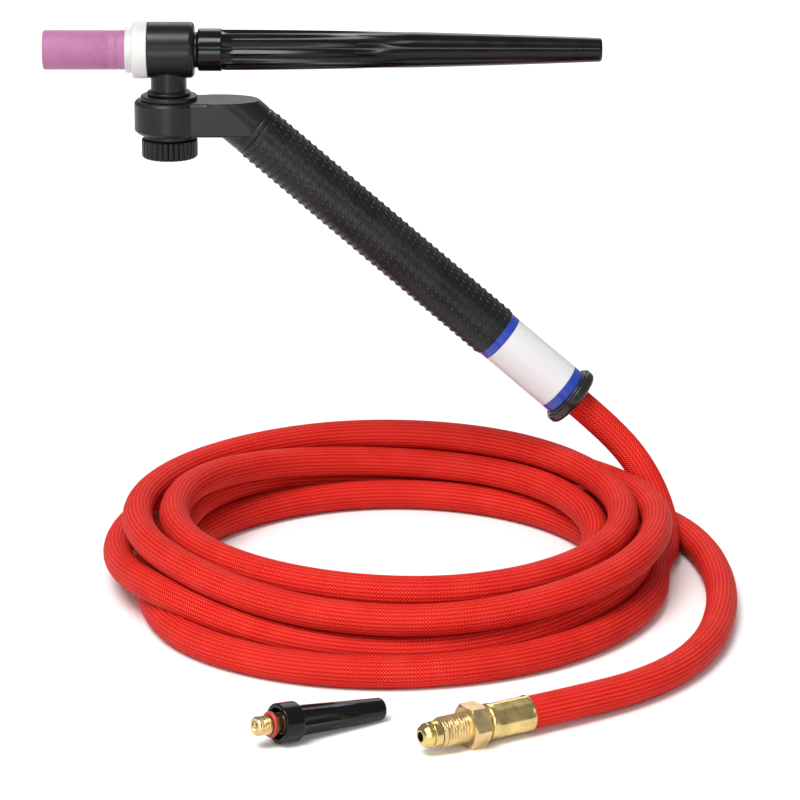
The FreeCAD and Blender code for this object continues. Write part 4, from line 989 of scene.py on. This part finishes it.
def dotted_sleeve_nodes():
    """Sets small domes in staggered rows round a sleeve that lies along X."""
    tree, given = new_node_group(
        "dotted_sleeve", ("Sleeve Radius", "First Row", "Row Pitch", "Dot Width", "Dot Height"),
        ("Rows", "Dots Around"))
    add = tree.nodes.new
    link = tree.links.new
    size = given.outputs

    spots = add("GeometryNodePoints")
    link(math_node(tree, "MULTIPLY", size["Rows"], size["Dots Around"]), spots.inputs["Count"])
    number = add("GeometryNodeInputIndex").outputs["Index"]
    row = math_node(tree, "FLOOR", math_node(tree, "DIVIDE", math_node(tree, "ADD", number, 0.5),
                                             size["Dots Around"]))
    shifted = math_node(tree, "MULTIPLY_ADD", row, 0.5, number)
    angle = math_node(tree, "DIVIDE", math_node(tree, "MULTIPLY", shifted, 2 * math.pi),
                      size["Dots Around"])
    cosine = math_node(tree, "COSINE", angle)
    sine = math_node(tree, "SINE", angle)
    place = add("ShaderNodeCombineXYZ")
    link(math_node(tree, "MULTIPLY_ADD", row, size["Row Pitch"], size["First Row"]),
         place.inputs["X"])
    link(math_node(tree, "MULTIPLY", cosine, size["Sleeve Radius"]), place.inputs["Y"])
    link(math_node(tree, "MULTIPLY", sine, size["Sleeve Radius"]), place.inputs["Z"])
    link(place.outputs["Vector"], spots.inputs["Position"])

    outwards = add("ShaderNodeCombineXYZ")
    link(cosine, outwards.inputs["Y"])
    link(sine, outwards.inputs["Z"])
    facing = add("FunctionNodeAlignRotationToVector")
    facing.axis = "Z"
    link(outwards.outputs["Vector"], facing.inputs["Vector"])

    dot = add("GeometryNodeMeshUVSphere")
    dot.inputs["Segments"].default_value = 8
    dot.inputs["Rings"].default_value = 4
    dot.inputs["Radius"].default_value = 1
    dot_size = add("ShaderNodeCombineXYZ")
    half_width = math_node(tree, "MULTIPLY", size["Dot Width"], 0.5)
    link(half_width, dot_size.inputs["X"])
    link(half_width, dot_size.inputs["Y"])
    link(size["Dot Height"], dot_size.inputs["Z"])
    set_dots = add("GeometryNodeInstanceOnPoints")
    link(spots.outputs["Points"], set_dots.inputs["Points"])
    link(dot.outputs["Mesh"], set_dots.inputs["Instance"])
    link(facing.outputs["Rotation"], set_dots.inputs["Rotation"])
    link(dot_size.outputs["Vector"], set_dots.inputs["Scale"])

    both = add("GeometryNodeJoinGeometry")
    link(size["Geometry"], both.inputs["Geometry"])
    link(set_dots.outputs["Instances"], both.inputs["Geometry"])
    end_group(tree, given, both.outputs["Geometry"])
    return tree


def grip_material():
    """Black rubber, dulled and greyed a little where it is held."""
    material, tree, shader = new_material("grip_rubber", (0.008, 0.008, 0.009), 0.4)
    dust = noise(tree, scale=75, detail=5, roughness=0.6)
    tinted(tree, shader, dust, [(0.35, (0.005, 0.005, 0.006)), (0.8, (0.014, 0.014, 0.015))])
    uneven_shine(tree, shader, dust, least=0.22, spread=0.25)
    bump(tree, shader, noise(tree, scale=1800), depth=0.02, strength=0.5)
    shader.inputs["Specular IOR Level"].default_value = 0.34
    return material


GRIP_RUBBER = grip_material()
sleeve = bpy.data.objects.new("sleeve", turned_mesh(GRIP_OUTLINE, HANDLE_MIDDLE, BACKWARDS,
                                                    sides=96, hollow=True))
scene.collection.objects.link(sleeve)
grip_mesh = made_by_nodes(sleeve, dotted_sleeve_nodes(), {
    "Sleeve Radius": GRIP_OUT * MM, "First Row": -DOT_PITCH * (DOT_ROWS - 1) / 2 * MM,
    "Row Pitch": DOT_PITCH * MM, "Dot Width": DOT_WIDE * MM, "Dot Height": DOT_HIGH * MM,
    "Rows": DOT_ROWS, "Dots Around": DOTS_AROUND, "Material": GRIP_RUBBER})
grip_mesh.transform(Matrix.Rotation(HANDLE_TILT, 4, "Y"))
finished("dotted_grip", [grip_mesh], GRIP_RUBBER, "handle", "grip_rubber", "grip_sleeve")

# --- Label sleeve: a white film sleeve round the handle behind the grip -----------------------
# It is a thin printed plastic sleeve with a blue band at each end, pushed onto the handle tube
# between the grip and the end ring.
LABEL_FIRST = 55.0
LABEL_LAST = 88.0
LABEL_OUT = 9.0
LABEL_OUTLINE = [(LABEL_FIRST, TUBE_OUT), (LABEL_FIRST, LABEL_OUT, 0.2),
                 (LABEL_LAST, LABEL_OUT, 0.2), (LABEL_LAST, TUBE_OUT)]
BAND_FRONT = 3.1
BAND_BACK = 3.6
PRINT_EDGE = 0.004
WHITE = (0.66, 0.66, 0.67)
BLUE = (0.012, 0.042, 0.34)


def label_material():
    """White film with a printed blue band at each end, slightly rippled."""
    material, tree, shader = new_material("label_film", WHITE, 0.3)
    long = LABEL_LAST - LABEL_FIRST
    share = math_node(tree, "DIVIDE", math_node(tree, "SUBTRACT", named_value(tree, "along"),
                                                LABEL_FIRST), long)
    front = BAND_FRONT / long
    back = 1 - BAND_BACK / long
    tinted(tree, shader, share, [(0, BLUE), (front, BLUE), (front + PRINT_EDGE, WHITE),
                                 (back - PRINT_EDGE, WHITE), (back, BLUE)])
    ripples = noise(tree, scale=90, detail=2)
    bump(tree, shader, ripples, depth=0.25, strength=0.4)
    uneven_shine(tree, shader, ripples, least=0.2, spread=0.2)
    shader.inputs["Coat Weight"].default_value = 0.3
    shader.inputs["Coat Roughness"].default_value = 0.15
    return material


finished("label_film_sleeve",
         [turned_mesh(LABEL_OUTLINE, HANDLE_MIDDLE, ALONG_HANDLE, sides=96, hollow=True, step=1)],
         label_material(), "handle", "label_sleeve", "label_sleeve")

# --- End ring: the soft black rubber bush that the hose leaves the handle through -------------
# It is moulded with a fat rounded flange and a thin lip against the label, and is pushed into the
# end of the tube.
BUSH_OUT = 11.0
BUSH_LIP_OUT = 10.2
BUSH_BORE = 5.25
BUSH_OUTLINE = [
    (LABEL_LAST, BUSH_BORE), (LABEL_LAST, BUSH_LIP_OUT, 0.4), (88.8, BUSH_LIP_OUT),
    (88.9, BUSH_OUT, 1.2), (HANDLE_END, BUSH_OUT, 1.7), (HANDLE_END, BUSH_BORE, 0.4)]


def rubber_material(name, color, roughness):
    """Moulded rubber with a faint bloom."""
    material, tree, shader = new_material(name, color, roughness)
    bloom = noise(tree, scale=210, detail=4)
    pale = tuple(min(1.8 * part + 0.004, 1) for part in color)
    tinted(tree, shader, bloom, [(0.4, color), (0.85, pale)])
    bump(tree, shader, noise(tree, scale=1500, detail=2), depth=0.01, strength=0.5)
    return material


finished("hose_bush",
         [turned_mesh(BUSH_OUTLINE, HANDLE_MIDDLE, ALONG_HANDLE, sides=96, hollow=True)],
         rubber_material("ring_rubber", (0.009, 0.009, 0.010), 0.26), "handle", "ring_rubber",
         "end_ring")

# --- Spare short cap: a second back cap, lying on the floor beside the torch ------------------
# A glossy black moulding with a hollow collar and short flutes, on a threaded brass insert with
# a red-brown rubber O-ring.
SPARE_TURN = math.radians(34.6)
SPARE_COLLAR = 6.7
SPARE_COLLAR_OUT = 6.2
SPARE_BODY_OUT = 4.8
SPARE_TIP_OUT = 3.45
SPARE_LONG = 38.6
SPARE_FLUTES = 12
SPARE_FLUTE_LONG = 22
SPARE_FLUTE_DEEP = 0.5
SPARE_OUTLINE = [
    (9.05, 0), (9.05, INSERT_ROOM), (3, INSERT_ROOM), (3, SEAL_ROOM), (0, SEAL_ROOM, 0.25),
    (0, SPARE_COLLAR_OUT, 0.5), (SPARE_COLLAR, SPARE_COLLAR_OUT, 0.8),
    (SPARE_COLLAR + 0.3, 4.85),
    *taper(SPARE_COLLAR + 0.5, SPARE_LONG, SPARE_BODY_OUT, SPARE_TIP_OUT, 1, 16)[1:],
    (SPARE_LONG, SPARE_TIP_OUT, 1.0), (SPARE_LONG, 0)]
SPARE_THREAD_OUT = 3.0
SPARE_THREAD_NOSE = 2.6
SPARE_INSERT_BORE = 1.7
SPARE_INSERT_OUTLINE = [
    (-3.0, 0), (-3.0, SPARE_INSERT_BORE), (-7.75, SPARE_INSERT_BORE), (-7.75, SPARE_THREAD_NOSE),
    (-7.3, SPARE_THREAD_OUT), (-3.3, SPARE_THREAD_OUT), (-3.0, SPARE_THREAD_NOSE),
    (-1.5, SPARE_THREAD_NOSE), (-1.5, 3.25, 0.2), (1.0, 3.25), (1.0, 3.3), (9.0, 3.3), (9.0, 0)]
SEAL_PLACE = -2.25
SEAL_MIDDLE = 3.35
SEAL_THICK = 1.5
SEAL_OUTLINE = [(SEAL_PLACE + SEAL_THICK / 2 * math.cos(k * math.pi / 8),
                 SEAL_MIDDLE + SEAL_THICK / 2 * math.sin(k * math.pi / 8)) for k in range(16)]
SPARE_DIP = math.atan2(2.75, SPARE_LONG - SPARE_COLLAR)
RIM_OFF_FLOOR = 6.22 * math.cos(SPARE_DIP) + SPARE_COLLAR * math.sin(SPARE_DIP)
SPARE_RIM = Vector((-29.5, -216.0, FLOOR + RIM_OFF_FLOOR))
SPARE_WAY = Vector((math.cos(SPARE_TURN) * math.cos(SPARE_DIP),
                    math.sin(SPARE_TURN) * math.cos(SPARE_DIP), -math.sin(SPARE_DIP)))
INSERT_BRASS = brass_material("insert_brass", (0.83, 0.62, 0.30), 0.27)
SEAL_RUBBER = rubber_material("seal_rubber", (0.27, 0.025, 0.012), 0.42)

spare_flutes = fluted(SPARE_COLLAR + 0.3, SPARE_COLLAR + SPARE_FLUTE_LONG, SPARE_FLUTES,
                      SPARE_FLUTE_DEEP, inner=3.5)
finished("spare_cap_moulding",
         [turned_mesh(SPARE_OUTLINE, SPARE_RIM, SPARE_WAY, sides=SPARE_FLUTES * 12, step=1.5,
                      reach=spare_flutes)],
         GLOSS_MOULDING, "spare_cap", "gloss_moulding", "spare_cap_body")
spare_thread = threaded(first=-7.6, last=-3.1, pitch=0.9, depth=0.5)
finished("spare_cap_thread",
         [turned_mesh(SPARE_INSERT_OUTLINE, SPARE_RIM, SPARE_WAY, sides=48, reach=spare_thread,
                      step=0.12)],
         INSERT_BRASS, "spare_cap", "insert_brass", "spare_cap_insert")
finished("spare_cap_seal",
         [turned_mesh(SEAL_OUTLINE, SPARE_RIM, SPARE_WAY, sides=64, hollow=True)],
         SEAL_RUBBER, "spare_cap", "seal_rubber", "spare_cap_o_ring", crease=math.radians(60))

# --- Parts inside: brass core and inserts, copper collet, tungsten electrode, tube and seals --
# They are turned, drilled and slotted metal, rubber rings and a plastic tube. Most of them are out
# of sight, and their CAD shapes are kept, so they only get their finishes here.
INNER_FINISHES = {
    INSERT_BRASS: ("head_core", "knuckle_bush", "tube_coupling", "knob_insert", "long_cap_insert"),
    FERRULE_BRASS: ("front_nipple", "front_ferrule"),
    SEAL_RUBBER: ("spindle_o_rings", "long_cap_o_ring"),
    brass_material("collet_copper", (0.80, 0.36, 0.20), 0.32): (
        "collet_body", "collet", "conductor_tube"),
    brass_material("tungsten", (0.42, 0.42, 0.41), 0.38): ("electrode",),
    moulding_material("tube_plastic", (0.03, 0.03, 0.032), 0.45): ("handle_tube",),
    hose.data.materials[0]: ("hose_root",),
}
for inner_material, nodes in INNER_FINISHES.items():
    for node in nodes:
        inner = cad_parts[node].data
        inner.materials.clear()
        inner.materials.append(inner_material)
